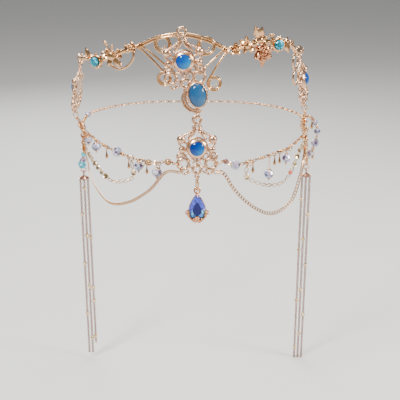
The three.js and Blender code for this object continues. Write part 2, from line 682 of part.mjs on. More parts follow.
const dropJump = torus(LINK.ring, LINK.wire / 2, 12).rotateY(rad(LINK.turn)).translate(0, jumpCentre, 0);
addPiece("drop_jump_ring", weld([dropJump]), gold, dropGroup);
addPiece("drop_link", weld([longLink().rotateY(rad(DROP.linkTurn))]), gold, dropGroup);

// A pear outline, point up: its widest place lies below the middle.
function pearLoft(rows, count = 12) {
  const corners = [];
  for (const { scale, z } of rows) {
    for (let i = 0; i < count; i++) {
      const a = (2 * Math.PI * i) / count;
      const x = (PEAR.halfWidth * Math.sin(a) * Math.sin(a / 2)) / 0.77;
      corners.push(V(-x * scale, (PEAR.length / 2) * Math.cos(a) * scale, z));
    }
  }
  const top = rows.length - 1;
  corners.push(V(0, 0, rows[0].z), V(0, 0, rows[top].z));
  const [back, front] = [corners.length - 2, corners.length - 1];
  const faces = [];
  for (let i = 0; i < count; i++) {
    const j = (i + 1) % count;
    faces.push(back, j, i, front, top * count + i, top * count + j);
    for (let r = 0; r < top; r++) {
      const [a, b] = [r * count + i, r * count + j];
      faces.push(a, b, a + count, b, b + count, a + count);
    }
  }
  return new THREE.BufferGeometry().setFromPoints(corners).setIndex(faces);
}

const pearBack = 1.2; // the setting's plate lies behind the stone
function pearStone() {
  const rows = [
    { scale: 0.6, z: 0 },
    { scale: 1, z: 0.42 * PEAR.depth },
    { scale: 1, z: 0.5 * PEAR.depth },
    { scale: PEAR.table, z: PEAR.depth },
  ];
  return weld([pearLoft(rows).translate(0, pearTop - PEAR.length / 2, -PEAR.depth / 2)]);
}

function pearSetting() {
  const middle = pearTop - PEAR.length / 2;
  const grow = 1 + (GAP + PEAR.wall) / PEAR.halfWidth;
  const plate = pearLoft([{ scale: 0.72, z: 0 }, { scale: 0.72, z: pearBack - GAP }]);
  plate.translate(0, middle, -PEAR.depth / 2 - pearBack);
  const forms = [plate];
  for (const side of [-1, 0, 1]) {
    const reach = side ? PEAR.halfWidth * grow : (PEAR.length / 2) * grow + 0.2;
    const prong = new THREE.BoxGeometry(side ? 0.9 : 2.6, side ? 1.3 : 0.9, 0.75 * PEAR.depth + pearBack);
    const foot = bar(0, middle, side * reach, middle - (side ? 3.2 : reach), 1.2, pearBack - GAP);
    prong.translate(side * reach, middle - (side ? 3.2 : reach), -0.14 * PEAR.depth - pearBack / 2);
    forms.push(prong, foot.translate(0, 0, -PEAR.depth / 2 - pearBack));
  }
  const neck = new THREE.BoxGeometry(1, 0.3 * PEAR.length, pearBack - GAP);
  forms.push(neck.translate(0, pearTop - 0.09 * PEAR.length, -PEAR.depth / 2 - pearBack + (pearBack - GAP) / 2));
  const post = new THREE.BoxGeometry(1, 0.9, PEAR.depth / 2 + pearBack);
  const postY = pearTop + GAP + 0.45 + 0.1;
  forms.push(post.translate(0, postY, -(PEAR.depth / 2 + pearBack) / 2));
  const half = DROP.band / 2;
  const eye = [[DROP.ring - half, 0], [DROP.ring + half, 0], [DROP.ring + half, 1], [DROP.ring - half, 1]];
  const ring = turned([...eye, eye[0]], 12).scale(1, 1, DROP.plate).translate(0, pearRing, -DROP.plate / 2);
  return weld([...forms, ring]);
}
addPiece("pear_setting", pearSetting(), roseGold, dropGroup);
addPiece("pear_stone", pearStone(), sapphireGlass, dropGroup);

// Routes of the chains, a few chosen points each, from the side of the head to the front or back.
const ROUTES = {
  left_side: [[-84.6, -4, -5], [-82.5, -1, -10], [-81.2, 0, -16.5], [-82, 2, -28], [-84, 6, -38], [-84.4, 8, -44]],
  right_side: [[75.2, -9, 0], [75, -5, -7], [76.4, -2, -14], [77.4, -1, -27], [79.5, 4, -36], [80.5, 8, -42]],
  right_strand: [[79.6, -2, -3], [83.4, 3, -7], [86.2, 5, -13], [86.7, 6, -20.5], [84.6, 5.5, -28]],
  left_bead: [
    [-75, -22, -11], [-69.5, -45, -6], [-63.5, -61, -5], [-52.5, -72.5, -7.5], [-38, -82.5, -10],
    [-28, -87, -11], [-16, -90.5, -9.5],
  ],
  left_sequin: [
    [-77, -22, -22], [-71.5, -45, -19.5], [-64.5, -59.5, -23], [-56.5, -68.5, -28], [-49.5, -75, -27.5],
    [-40, -81.5, -22],
  ],
  left_curb: [
    [-76, -24, -31], [-73, -42, -31], [-68.5, -53.5, -36.5], [-57.5, -68, -44], [-44, -79, -40],
    [-29.5, -86.5, -29], [-18.5, -90, -16],
  ],
  right_bead: [
    [73, -25, -10], [68, -44, -7.5], [58.5, -62, -9], [48, -73, -9.5], [32.5, -83.5, -11.5],
    [23, -88.5, -12], [15.5, -91.5, -8.5],
  ],
  right_sequin: [
    [72, -32, -15.5], [67, -50, -14.5], [62.5, -57, -24], [55.5, -65.5, -31], [41, -78.5, -28],
    [30.5, -84.5, -20.5],
  ],
  right_curb: [
    [72.5, -32, -27.5], [69, -46, -33.5], [62, -58, -47], [48.5, -72.5, -50], [35.5, -82, -42],
    [23, -88.5, -28], [15.5, -91.5, -16],
  ],
};
const HANG = { ring: 1.9, wire: 0.8 }; // the larger rings at the ends of the side chains and the clasp
const bite = (HANG.wire + LINK.wire) / 2 + GAP + 0.05; // how far one ring's wire stays inside the next

function point(list) {
  return V(list[0], list[1], list[2]);
}

// A ring whose plane holds two directions.
function ringIn(centre, one, other, radius, wire) {
  const x = one.clone().normalize();
  const z = V().crossVectors(x, other).normalize();
  const basis = new THREE.Matrix4().makeBasis(x, V().crossVectors(z, x), z);
  return torus(radius, wire / 2).applyMatrix4(basis.setPosition(centre));
}

// The end ring of a chain that hangs round a host chain's wire.
function hanger(host, share, wire, direction) {
  const tangent = host.getTangentAt(share);
  const along = direction.clone().addScaledVector(tangent, -direction.dot(tangent)).normalize();
  const seat = LINK.ring - LINK.wire / 2 - wire - GAP - 0.2;
  const end = host.getPointAt(share).addScaledVector(along, seat);
  return { end, along, across: V().crossVectors(tangent, along) };
}

function endRing({ end, along, across }) {
  return ringIn(end, along, across, LINK.ring, LINK.wire);
}

function pastRing({ end, along }) {
  return end.clone().addScaledVector(along, LINK.ring);
}

// A side chain starts with a ring in its plaque's eyelet.
function topRingCentre(side) {
  const eye = onPlaque(side, 0, (eyeletY - eyeletBand) / PLAQUE.size, PLAQUE.eyeletPlate / 2);
  return eye.setZ(eye.z - LINK.ring + eyeletBand);
}

function sideCurve(side) {
  const top = topRingCentre(side);
  return new THREE.CatmullRomCurve3([top.setZ(top.z - LINK.ring), ...ROUTES[`${side}_side`].map(point)]);
}

// Where each hanging chain leaves its side chain: shares of its length, and which way.
const HANGERS = {
  left: { bead: 0.376, sequin: 0.516, curb: 0.64, back: 0.24 },
  right: { bead: 0.383, sequin: 0.515, curb: 0.648, back: 0.24 },
};
const hangers = {};
for (const [side, rows] of Object.entries(HANGERS)) {
  const curve = sideCurve(side);
  for (const [kind, share] of Object.entries(rows)) {
    const origin = curve.getPointAt(share);
    const first = kind === "back" ? origin.clone().add(V(0, 1, 0)) : point(ROUTES[`${side}_${kind}`][0]);
    hangers[`${side}_${kind}`] = hanger(curve, share, CHAIN.side, first.sub(origin));
  }
}

// Forms strung on a chain at a share of its length.
function strung(kind, curve, share, size = 1) {
  const p = curve.getPointAt(share);
  const away = V(p.x - SWAG.centreX, p.y, 0).normalize();
  const face = new THREE.Matrix4().makeBasis(V().crossVectors(UP, away), UP, away).setPosition(p);
  if (kind === "disc") return [puck(DISC.radius, DISC.thick).translate(0, 0, -DISC.thick / 2).applyMatrix4(face)];
  if (kind === "ball") return [ball(BALL.radius * size, 8).applyMatrix4(face)];
  if (kind === "ring") return [torus(HANG.ring, HANG.wire / 2).applyMatrix4(face)];
  const length = STICK.length * size;
  const profile = [[0, -length], [STICK.radius, -length + 0.6], [STICK.neck, 0], [0, 0.4]];
  return [turned(profile, 6).translate(p.x, p.y, p.z)];
}

// A pin that hangs from a chain and carries a drilled crystal.
function pinForms(curve, share, drop) {
  const p = curve.getPointAt(share);
  const length = drop + CRYSTAL.radius + GAP;
  const rod = new THREE.CylinderGeometry(CRYSTAL.pin, CRYSTAL.pin, length, 5).rotateX(Math.PI / 2);
  const head = ball(CRYSTAL.head, 6).translate(p.x, p.y, p.z - length - 0.4 * CRYSTAL.head);
  return [rod.translate(p.x, p.y, p.z - length / 2), head];
}

// A drilled faceted bead along z.
function crystalForm(radius, hole) {
  const half = 0.86 * radius;
  const table = Math.max(0.55 * radius, hole + 0.3);
  const profile = [[hole, -half], [table, -half], [radius, 0], [table, half], [hole, half]];
  return turned([...profile, profile[0]], 8);
}

function addCrystal(name, curve, row, wire, material = clearGlass) {
  const p = curve.getPointAt(row.share);
  const radius = row.radius ?? CRYSTAL.radius;
  const form = crystalForm(radius, row.drop ? CRYSTAL.hole : 1.4 * (wire + GAP));
  if (row.drop) form.translate(p.x, p.y, p.z - row.drop);
  else {
    const turn = new THREE.Quaternion().setFromUnitVectors(UP, curve.getTangentAt(row.share));
    form.applyQuaternion(turn).translate(p.x, p.y, p.z);
  }
  addPiece(name, weld([form]), material);
}

// Where a swag's inner end bites the lower plaque's ring: side and angle round the ring.
const BITES = {
  left_bead: { side: -1, angle: 178 },
  left_curb: { side: -1, angle: 250 },
  right_bead: { side: 1, angle: 2 },
  right_curb: { side: 1, angle: -70 },
};
function plaqueEnd(name) {
  const { side, angle } = BITES[name];
  const band = ((LOWER_RING.radius + LOWER_RING.hole) / 2) * PLAQUE.size;
  const radius = LINK.ring + 0.15;
  const away = band + 0.15;
  const [x, y] = [Math.cos(rad(angle)), Math.sin(rad(angle))];
  const ringX = side * LOWER_RING.x * PLAQUE.size;
  const ringY = LOWER_RING.y * PLAQUE.size;
  const centre = V(ringX + away * x, ringY + away * y, PLAQUE.plate / 2);
  centre.applyMatrix4(PLAQUES.lower.matrix);
  const along = plaqueDirection("lower", x, y, 0);
  return { centre, along, radius, front: plaqueDirection("lower", 0, 0, 1) };
}

// What is strung on each swag: shares of its length, with the drop of each crystal below the chain.
const STRUNG = {
  left_bead: {
    disc: [0.855, 0.955], stick: [0.58, 0.842],
    crystal: [
      { share: 0.14, drop: 4.2, radius: 2.6 }, { share: 0.47, drop: 4.6, radius: 2.9 },
      { share: 0.66, drop: 0 }, { share: 0.795, drop: 4.2 }, { share: 0.895, drop: 6.4 },
    ],
  },
  right_bead: {
    ball: [0.96, 0.58], ring: [0.5], stick: [0.79, 0.64],
    crystal: [{ share: 0.9, drop: 0, radius: 3.1 }, { share: 0.68, drop: 12.4 }, { share: 0.54, drop: 6 }],
  },
};

// The sequin chains' inner ends hang on the bead chains, at these shares of their lengths.
const SEQUIN_ENDS = { left: 0.755, right: 0.828 };
function sequinEnd(name) {
  const side = name.split("_")[0];
  const host = swagCurve(`${side}_bead`);
  const share = SEQUIN_ENDS[side];
  return hanger(host, share, CHAIN.bead, point(ROUTES[name].at(-1)).sub(host.getPointAt(share)));
}

function swagCurve(name) {
  const points = [pastRing(hangers[name]), ...ROUTES[name].map(point)];
  if (BITES[name]) {
    const end = plaqueEnd(name);
    points.push(end.centre.clone().addScaledVector(end.along, end.radius));
  } else points.push(pastRing(sequinEnd(name)));
  return new THREE.CatmullRomCurve3(points);
}

function swagBody(name, curve, wire, steps) {
  const forms = [tubeOn(curve, wire, steps), endRing(hangers[name])];
  if (BITES[name]) {
    const end = plaqueEnd(name);
    forms.push(ringIn(end.centre, end.along, end.front, end.radius, LINK.wire));
  } else forms.push(endRing(sequinEnd(name)));
  const rows = STRUNG[name] ?? {};
  for (const kind of ["disc", "ball", "ring", "stick"]) {
    for (const share of rows[kind] ?? []) forms.push(...strung(kind, curve, share));
  }
  for (const row of rows.crystal ?? []) {
    if (row.drop) forms.push(...pinForms(curve, row.share, row.drop));
  }
  return weld(forms);
}

const WIRES = { bead: [CHAIN.bead, 20], sequin: [CHAIN.sequin, 12], curb: [CHAIN.curb, 14] };
for (const name of Object.keys(hangers).filter((key) => ROUTES[key])) {
  const [wire, steps] = WIRES[name.split("_")[1]];
  const curve = swagCurve(name);
  addPiece(`${name}_chain`, swagBody(name, curve, wire, steps), gold);
  (STRUNG[name]?.crystal ?? []).forEach((row, i) => addCrystal(`${name}_crystal_${i + 1}`, curve, row, wire));
}

// Side chains hang from the side plaques and carry the swags, the tassels and the back chain.
// The strands of each tassel, by place across it, as shares of the tassel's length
const TASSEL_STRANDS = {
  left: [{ place: -1, share: 1 }, { place: 0, share: 1 }, { place: 1, share: 0.94 }],
  right: [{ place: -1, share: 1 }, { place: 0, share: 1 }, { place: 1, share: 1 }],
};
const rightSide = sideCurve("right");
const strandCurve = new THREE.CatmullRomCurve3([
  rightSide.getPointAt(0.17),
  ...ROUTES.right_strand.map(point),
  rightSide.getPointAt(0.91),
]);
const DOWN = V(0, 0, -1);
const ACROSS = V(1, 0, 0);

function sideChainBody(side) {
  const curve = sideCurve(side);
  const forms = [tubeOn(curve, CHAIN.side, 10)];
  forms.push(ringIn(topRingCentre(side), DOWN, plaqueDirection(side, 0, 0, 1), LINK.ring, LINK.wire));
  if (side === "right") forms.push(tubeOn(strandCurve, CHAIN.bead, 9));
  forms.push(ringIn(curve.getPointAt(1).addScaledVector(DOWN, HANG.ring), DOWN, ACROSS, HANG.ring, HANG.wire));
  return weld(forms);
}

function tasselBody(side) {
  const foot = sideCurve(side).getPointAt(1).addScaledVector(DOWN, 2 * HANG.ring);
  const ringCentre = foot.clone().addScaledVector(DOWN, LINK.ring - bite);
  const capTop = ringCentre.clone().addScaledVector(DOWN, LINK.ring);
  const cap = turned([[0, -TASSEL.cap], [TASSEL.spread + 1, -TASSEL.cap], [0.9, 0], [0, 0.2]], 10);
  const strands = TASSEL_STRANDS[side].map(({ place, share }) => {
    const head = capTop.clone().add(V(place * TASSEL.spread, 0, -TASSEL.cap + 0.4));
    const length = TASSEL[side] * share;
    return tube([head, head.clone().addScaledVector(DOWN, length)], CHAIN.tassel, 3);
  });
  const ring = ringIn(ringCentre, DOWN, V(0, 1, 0), LINK.ring, LINK.wire);
  return weld([ring, cap.translate(capTop.x, capTop.y, capTop.z), ...strands]);
}

for (const side of ["left", "right"]) {
  addPiece(`${side}_side_chain`, sideChainBody(side), gold);
  addPiece(`${side}_tassel`, tasselBody(side), roseGold);
}

// A strand of crystals beside the right side chain.
const STRAND_CRYSTALS = [
  { share: 0.36, drop: 0, radius: 2.1 }, { share: 0.52, drop: 0, radius: 2.3 },
  { share: 0.7, drop: 0, radius: 2.9 }, { share: 0.88, drop: 0, radius: 2.6 },
];
STRAND_CRYSTALS.forEach((row, i) =>
  addCrystal(`right_strand_crystal_${i + 1}`, strandCurve, row, CHAIN.bead));

// Beads at the left side: turquoise and clear, each drilled and threaded on the side chain.
const LEFT_BEADS = [
  { share: 0.75, drop: 0, radius: 2.1, material: turquoiseGlass },
  { share: 0.87, drop: 0, radius: 2.3, material: clearGlass },
];
LEFT_BEADS.forEach((row, i) =>
  addCrystal(`left_side_bead_${i + 1}`, sideCurve("left"), row, CHAIN.side, row.material));

// Back chain: two halves from the side chains to a plain clasp behind the head.
const CLASP = { length: 9, width: 3, thick: 2.2 };
function backCurve(side) {
  const sign = side === "left" ? -1 : 1;
  const points = [pastRing(hangers[`${side}_back`])];
  for (const share of [0.1, 0.3, 0.5, 0.7, 0.9, 1]) {
    const bearing = BACK.start + (claspBearing - BACK.start) * share;
    points.push(onPlan(BACK, sign * bearing, BACK.height - BACK.sag * share));
  }
  return new THREE.CatmullRomCurve3(points);
}
const claspReach = CLASP.length / 2 + 2 * HANG.ring + 2 * LINK.ring - bite;
const claspBearing = 180 - THREE.MathUtils.radToDeg(claspReach / BACK.halfWidth);
const claspMiddle = onPlan(BACK, 180, BACK.height - BACK.sag);

for (const side of ["left", "right"]) {
  const curve = backCurve(side);
  const sign = side === "left" ? -1 : 1;
  const endX = claspMiddle.x + sign * (CLASP.length / 2 + 2 * HANG.ring - bite + LINK.ring);
  const end = V(endX, claspMiddle.y, claspMiddle.z);
  addPiece(`${side}_back_chain`, weld([
    tubeOn(curve, CHAIN.back, 12),
    endRing(hangers[`${side}_back`]),
    ringIn(end, ACROSS, V(0, 1, 0), LINK.ring, LINK.wire),
  ]), gold);
}
const claspRings = [-1, 1].map((sign) => {
  const offset = sign * (CLASP.length / 2 + HANG.ring);
  return ringIn(claspMiddle.clone().add(V(offset, 0, 0)), ACROSS, UP, HANG.ring, HANG.wire);
});
const claspBody = new THREE.BoxGeometry(CLASP.length + 0.8, CLASP.thick, CLASP.width);
claspBody.translate(claspMiddle.x, claspMiddle.y, claspMiddle.z);
addPiece("back_clasp", weld([claspBody, ...claspRings]), gold);

export default model;
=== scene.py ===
# Looks of the head chain: plated brass, glass stones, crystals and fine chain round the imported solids.
# Sizes are millimetres in the part's frame: +Z up, -Y to the front. Meshes are scaled to metres when made.
import math
import random
from math import cos, pi, radians as rad, sin, tau
from types import SimpleNamespace as Sizes

import bpy
from mathutils import Matrix, Vector

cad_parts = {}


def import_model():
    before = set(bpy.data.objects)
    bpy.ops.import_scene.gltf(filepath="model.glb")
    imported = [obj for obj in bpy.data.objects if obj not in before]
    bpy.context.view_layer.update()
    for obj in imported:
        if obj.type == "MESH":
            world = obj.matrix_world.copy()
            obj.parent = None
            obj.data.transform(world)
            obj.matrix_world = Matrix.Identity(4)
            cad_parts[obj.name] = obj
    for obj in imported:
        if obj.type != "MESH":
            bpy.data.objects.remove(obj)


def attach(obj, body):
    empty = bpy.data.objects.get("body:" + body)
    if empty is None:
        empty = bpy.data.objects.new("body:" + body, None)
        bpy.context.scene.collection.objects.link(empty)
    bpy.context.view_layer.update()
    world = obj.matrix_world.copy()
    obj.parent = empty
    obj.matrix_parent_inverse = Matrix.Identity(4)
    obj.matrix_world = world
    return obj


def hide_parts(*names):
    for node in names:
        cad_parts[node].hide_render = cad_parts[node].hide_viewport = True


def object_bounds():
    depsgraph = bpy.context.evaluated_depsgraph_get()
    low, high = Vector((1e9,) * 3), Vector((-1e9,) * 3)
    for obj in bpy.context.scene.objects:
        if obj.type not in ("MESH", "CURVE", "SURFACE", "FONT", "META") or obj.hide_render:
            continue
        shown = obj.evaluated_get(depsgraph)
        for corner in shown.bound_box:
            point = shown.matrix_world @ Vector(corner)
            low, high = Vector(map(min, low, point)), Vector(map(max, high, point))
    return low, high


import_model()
cad_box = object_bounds()
MM = 0.001
V = Vector
UP = V((0, 0, 1))
DOWN = V((0, 0, -1))
ACROSS = V((1, 0, 0))

# Sizes that the solids have too
GAP = 0.3
CROWN = Sizes(centre_x=-5, half_width=76, front=85.5)
SWAG = Sizes(centre_x=-2, half_width=82, front=92)
BACK = Sizes(centre_x=-3, half_width=80.5, front=88, height=-7, sag=6, start=97)
PLAQUE = 12.5
PLATE = 1.6
PLAQUE_TOP = V((0, 1.52 * PLAQUE, PLATE / 2))
FOOT_LOOP = Sizes(x=0.68 * PLAQUE, y=-0.8 * PLAQUE, middle=0.265 * PLAQUE, out=0.15)
EYELET = Sizes(y=-17.95, plate=0.8, band=1.25)
STONE = Sizes(radius=5, seat=1.1, girdle=1.2, dome=3.2)
LINK = Sizes(ring=1.9, wire=0.7)
HANG = Sizes(ring=1.9, wire=0.8)
HOST_SLACK = 0.2
HUNG_BITE = (HANG.wire + LINK.wire) / 2 + GAP + 0.05
SIDE_WIRE = 0.75
BEAD_WIRE = 0.55
# How far a chain's links run past the ends of its line
LAP = 0.3


# Helpers for the scene's data
def in_scene(name, data):
    made = bpy.data.objects.new(name, data)
    bpy.context.scene.collection.objects.link(made)
    return made


def shader_of(name):
    material = bpy.data.materials.new(name)
    material.use_nodes = True
    tree = material.node_tree
    return material, tree.nodes, tree.links, tree.nodes["Principled BSDF"]


def fill(node, values):
    for name, value in values.items():
        node.inputs[name].default_value = value


# Camera, floor and light
def look():
    camera = in_scene("camera", bpy.data.cameras.new("camera"))
    camera.data.lens = 72
    camera.data.sensor_width = 36
    camera.location = (0.0018, -0.5565, 0.1354)
    camera.rotation_euler = (rad(70), 0, 0)
    bpy.context.scene.camera = camera


def lamp(name, place, size, power, color=(1, 1, 1)):
    data = bpy.data.lights.new(name, "AREA")
    data.shape = "DISK"
    data.size = size
    data.energy = power
    data.color = color
    light = in_scene(name, data)
    light.location = place
    light.rotation_euler = (LAMP_AIM - V(place)).to_track_quat("-Z", "Y").to_euler()


def world():
    made = bpy.data.worlds.new("studio")
    made.use_nodes = True
    nodes, links = made.node_tree.nodes, made.node_tree.links
    back = nodes["Background"]
    place = nodes.new("ShaderNodeTexCoord")
    split = nodes.new("ShaderNodeSeparateXYZ")
    ramp = nodes.new("ShaderNodeValToRGB")
    links.new(place.outputs["Generated"], split.inputs[0])
    links.new(split.outputs["Z"], ramp.inputs[0])
    stops = [(0.0, 0.4), (0.5, 0.3), (0.56, 0.09), (0.72, 0.2), (0.86, 0.9)]
    ramp.color_ramp.elements[0].position = stops[0][0]
    ramp.color_ramp.elements[1].position = stops[-1][0]
    for at, _ in stops[1:-1]:
        ramp.color_ramp.elements.new(at)
    for element, (_, value) in zip(ramp.color_ramp.elements, stops):
        element.color = (value, value, value * 1.02, 1)
    links.new(ramp.outputs[0], back.inputs["Color"])
    fill(back, {"Strength": 0.75})
    bpy.context.scene.world = made


def floor():
    mesh = bpy.data.meshes.new("floor")
    half = 6.0
    flat = [(-half, -half), (half, -half), (half, half), (-half, half)]
    mesh.from_pydata([(*corner, cad_box[0][2]) for corner in flat], [], [(0, 1, 2, 3)])
    material, _, _, shader = shader_of("pale_floor")
    fill(shader, {"Base Color": (0.72, 0.71, 0.69, 1), "Roughness": 0.9})
    mesh.materials.append(material)
    in_scene("floor", mesh)


LAMP_AIM = V((0, 0, -0.03))
look()
world()
floor()
lamp("key", (-0.5, -0.6, 0.75), 0.3, 15)
lamp("side", (0.75, -0.25, 0.35), 0.25, 8, color=(1, 0.96, 0.9))
lamp("top", (0.05, 0.1, 0.8), 0.5, 9)
lamp("back", (-0.3, 0.8, 0.4), 0.5, 5)


# Materials
def noise(nodes, links, scale, detail=3.0):
    place = nodes.new("ShaderNodeTexCoord")
    grain = nodes.new("ShaderNodeTexNoise")
    fill(grain, {"Scale": scale, "Detail": detail})
    links.new(place.outputs["Object"], grain.inputs["Vector"])
    return grain.outputs[0]


def ramp_of(nodes, links, source, low, high):
    ramp = nodes.new("ShaderNodeValToRGB")
    for element, place, color in zip(ramp.color_ramp.elements, (0.35, 0.65), (low, high)):
        element.position = place
        element.color = (*color, 1)
    links.new(source, ramp.inputs[0])
    return ramp.outputs[0]


# Plated metal: colour and gloss vary a little, with fine casting marks.
def metal(name, bright, dark, rough=(0.16, 0.34), grain=420, relief=0.25):
    material, nodes, links, shader = shader_of(name)
    patch = noise(nodes, links, grain)
    links.new(ramp_of(nodes, links, patch, dark, bright), shader.inputs["Base Color"])
    gloss = ramp_of(nodes, links, patch, (rough[1],) * 3, (rough[0],) * 3)
    links.new(gloss, shader.inputs["Roughness"])
    marks = nodes.new("ShaderNodeBump")
    fill(marks, {"Strength": relief, "Distance": 0.00006})
    links.new(noise(nodes, links, 2600, 2), marks.inputs["Height"])
    links.new(marks.outputs[0], shader.inputs["Normal"])
    fill(shader, {"Metallic": 1})
    return material


# Glass and foiled stones: the colour comes from each face's tint, which on the cut and domed stones also
# holds painted light, painted shade and painted glints.
def tinted(name, rough=0.04, through=0.0, coat=0.25, cloud=0.12, shine=0.5):
    material, nodes, links, shader = shader_of(name)
    tint = nodes.new("ShaderNodeVertexColor")
    tint.layer_name = "tint"
    level = ramp_of(nodes, links, noise(nodes, links, 500), (1 - cloud,) * 3, (1, 1, 1))
    mix = nodes.new("ShaderNodeMix")
    mix.data_type = "RGBA"
    mix.blend_type = "MULTIPLY"
    fill(mix, {"Factor": 1})
    links.new(tint.outputs["Color"], mix.inputs["A"])
    links.new(level, mix.inputs["B"])
    links.new(mix.outputs["Result"], shader.inputs["Base Color"])
    fill(shader, {"Roughness": rough, "IOR": 1.52, "Specular IOR Level": shine,
                  "Transmission Weight": through, "Coat Weight": coat, "Coat Roughness": 0.02})
    return material


GOLD = metal("gold", (0.85, 0.51, 0.26), (0.68, 0.37, 0.16), (0.1, 0.2), 240, 0.08)
ANTIQUE = metal("cast_gold", (0.93, 0.62, 0.42), (0.66, 0.38, 0.21), (0.2, 0.34), 420, 0.3)
ROSE = metal("rose_gold", (0.76, 0.38, 0.21), (0.50, 0.22, 0.10), (0.14, 0.28))
COPPER = metal("dark_copper", (0.50, 0.28, 0.20), (0.34, 0.17, 0.11), (0.2, 0.35))
IVORY = metal("pale_gold", (0.95, 0.74, 0.46), (0.80, 0.56, 0.30), (0.1, 0.22))
STONE_GLASS = tinted("stone_glass", coat=0.06, shine=0.28)
CRYSTAL_GLASS = tinted("crystal_glass", 0.03, 0.15, 0.8, 0.05)
PEARL = tinted("bead_glass", 0.12, 0.0, 0.8, 0.08)


def polar(radius, turn, z=0.0):
    return V((radius * cos(turn), radius * sin(turn), z))


# Forms are lists of corners and faces in millimetres.
# Rows of corners joined by faces, with end caps, or with the last row joined to the first.
def loft(rows, closed=False, split=99):
    sides = len(rows[0])
    verts = [corner for row in rows for corner in row]
    faces = []
    for r in range(len(rows) if closed else len(rows) - 1):
        k = (r + 1) % len(rows)
        for j in range(sides):
            m = (j + 1) % sides
            a, b, c, d = r * sides + j, r * sides + m, k * sides + m, k * sides + j
            faces += [(a, b, c), (a, c, d)] if r >= split else [(a, b, c, d)]
    if not closed:
        faces += [tuple(range(sides - 1, -1, -1)), tuple(range(len(verts) - sides, len(verts)))]
    return verts, faces


def sweep(points, radius, sides=8, closed=False):
    points = [V(p) for p in points]
    count = len(points)
    radii = radius if isinstance(radius, (list, tuple)) else [radius] * count
    rows, side = [], None
    for i, point in enumerate(points):
        before = points[i - 1] if closed or i else points[0]
        after = points[(i + 1) % count] if closed or i < count - 1 else points[-1]
        along = (after - before).normalized()
        if side is None:
            side = along.orthogonal().normalized()
            if closed:
                flat = (points[count // 3] - points[0]).cross(points[2 * count // 3] - points[0])
                if flat.length > 1e-9:
                    side = flat.normalized()
        side = (side - along * side.dot(along)).normalized()
        other = along.cross(side)
        turns = [tau * j / sides for j in range(sides)]
        rows.append([point + (side * cos(turn) + other * sin(turn)) * radii[i] for turn in turns])
    return loft(rows, closed)


# Radii that swell from the ends of a sweep to its middle
def swell(low, rise, count):
    return [low + rise * sin(pi * i / (count - 1)) for i in range(count)]


# A turned form from (radius, height) pairs along z; closed at the axis where a radius is 0.
def lathe(profile, sides):
    verts, faces, rows = [], [], []
    for r, z in profile:
        if r < 1e-6:
            rows.append([len(verts)] * sides)
            verts.append(V((0, 0, z)))
        else:
            rows.append(list(range(len(verts), len(verts) + sides)))
            for j in range(sides):
                verts.append(polar(r, tau * j / sides, z))
    for low, high in zip(rows, rows[1:]):
        for j in range(sides):
            m = (j + 1) % sides
            face = []
            for corner in (low[j], low[m], high[m], high[j]):
                if corner not in face:
                    face.append(corner)
            if len(face) > 2:
                faces.append(tuple(face))
    return verts, faces


def ball(radius, sides=12, squash=1.0):
    rings = max(4, sides // 2)
    profile = [(radius * sin(pi * i / rings), -radius * squash * cos(pi * i / rings))
               for i in range(rings + 1)]
    profile[0] = (0, profile[0][1])
    profile[-1] = (0, profile[-1][1])
    return lathe(profile, sides)


def torus(radius, wire, count=24, sides=8):
    return sweep([polar(radius, tau * i / count) for i in range(count)], wire, sides, True)


# An oval link along x, in the xy plane.
def oval(length, width, wire, count=14, sides=6):
    half = (width - wire) / 2
    straight = (length - wire) / 2 - half
    points = []
    for i in range(count):
        turn = tau * (i + 0.5) / count
        shift = straight if cos(turn) > 0 else -straight
        points.append(V((shift + half * cos(turn), half * sin(turn), 0)))
    return sweep(points, wire / 2, sides, True)


def moved(x=0.0, y=0.0, z=0.0):
    return Matrix.Translation((x, y, z))


def turned(degrees, axis):
    return Matrix.Rotation(rad(degrees), 4, axis)


def basis(x, y, z, origin):
    made = Matrix((x, y, z)).transposed().to_4x4()
    made.translation = origin
    return made


class Piece:
    """Collects forms, with a tint for each face, and makes one mesh of them."""

    def __init__(self, matrix=None):
        self.matrix = matrix or Matrix.Identity(4)
        self.verts, self.faces, self.tints = [], [], []

    def add(self, form, matrix=None, tint=None):
        place = self.matrix @ matrix if matrix else self.matrix
        first = len(self.verts)
        self.verts += [place @ V(v) for v in form[0]]
        flip = place.determinant() < 0
        for i, face in enumerate(form[1]):
            face = tuple(first + k for k in face)
            self.faces.append(face[::-1] if flip else face)
            self.tints.append(tint(i) if callable(tint) else tint)
        return self

    def form(self):
        return self.verts, self.faces

    def make(self, name, replaces=(), material=GOLD, slot="gold", body="root", smooth=50, shade=None):
        mesh = bpy.data.meshes.new(name)
        mesh.from_pydata([v * MM for v in self.verts], [], self.faces)
        mesh.update()
        if shade or any(t is not None for t in self.tints):
            layer = mesh.color_attributes.new("tint", "FLOAT_COLOR", "CORNER")
            for face, tint in zip(mesh.polygons, self.tints):
                for corner in face.loop_indices:
                    where = self.verts[mesh.loops[corner].vertex_index]
                    color = shade(where, tint) if shade else (tint or (1, 1, 1))
                    layer.data[corner].color = (*color, 1)
        if smooth:
            mesh.shade_smooth()
            mesh.set_sharp_from_angle(angle=rad(smooth))
        mesh.materials.append(material)
        made = in_scene(name, mesh)
        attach(made, body)
        if replaces:
            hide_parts(*replaces)
        return made


# Places on the plans, as in the solids
def on_plan(plan, bearing, height, out=0.0):
    turn = rad(bearing)
    x = plan.centre_x + (plan.half_width + out) * sin(turn)
    return V((x, -(plan.front + out) * cos(turn), height))


def crown(bearing, height, out=0.0):
    return on_plan(CROWN, bearing, height, out)


def facing(origin, bearing, lean=0.0, roll=0.0):
    z = V((sin(rad(bearing)), -cos(rad(bearing)), 0))
    made = basis(UP.cross(z).normalized(), UP, z, origin)
    return made @ turned(-lean, "X") @ turned(roll, "Z")


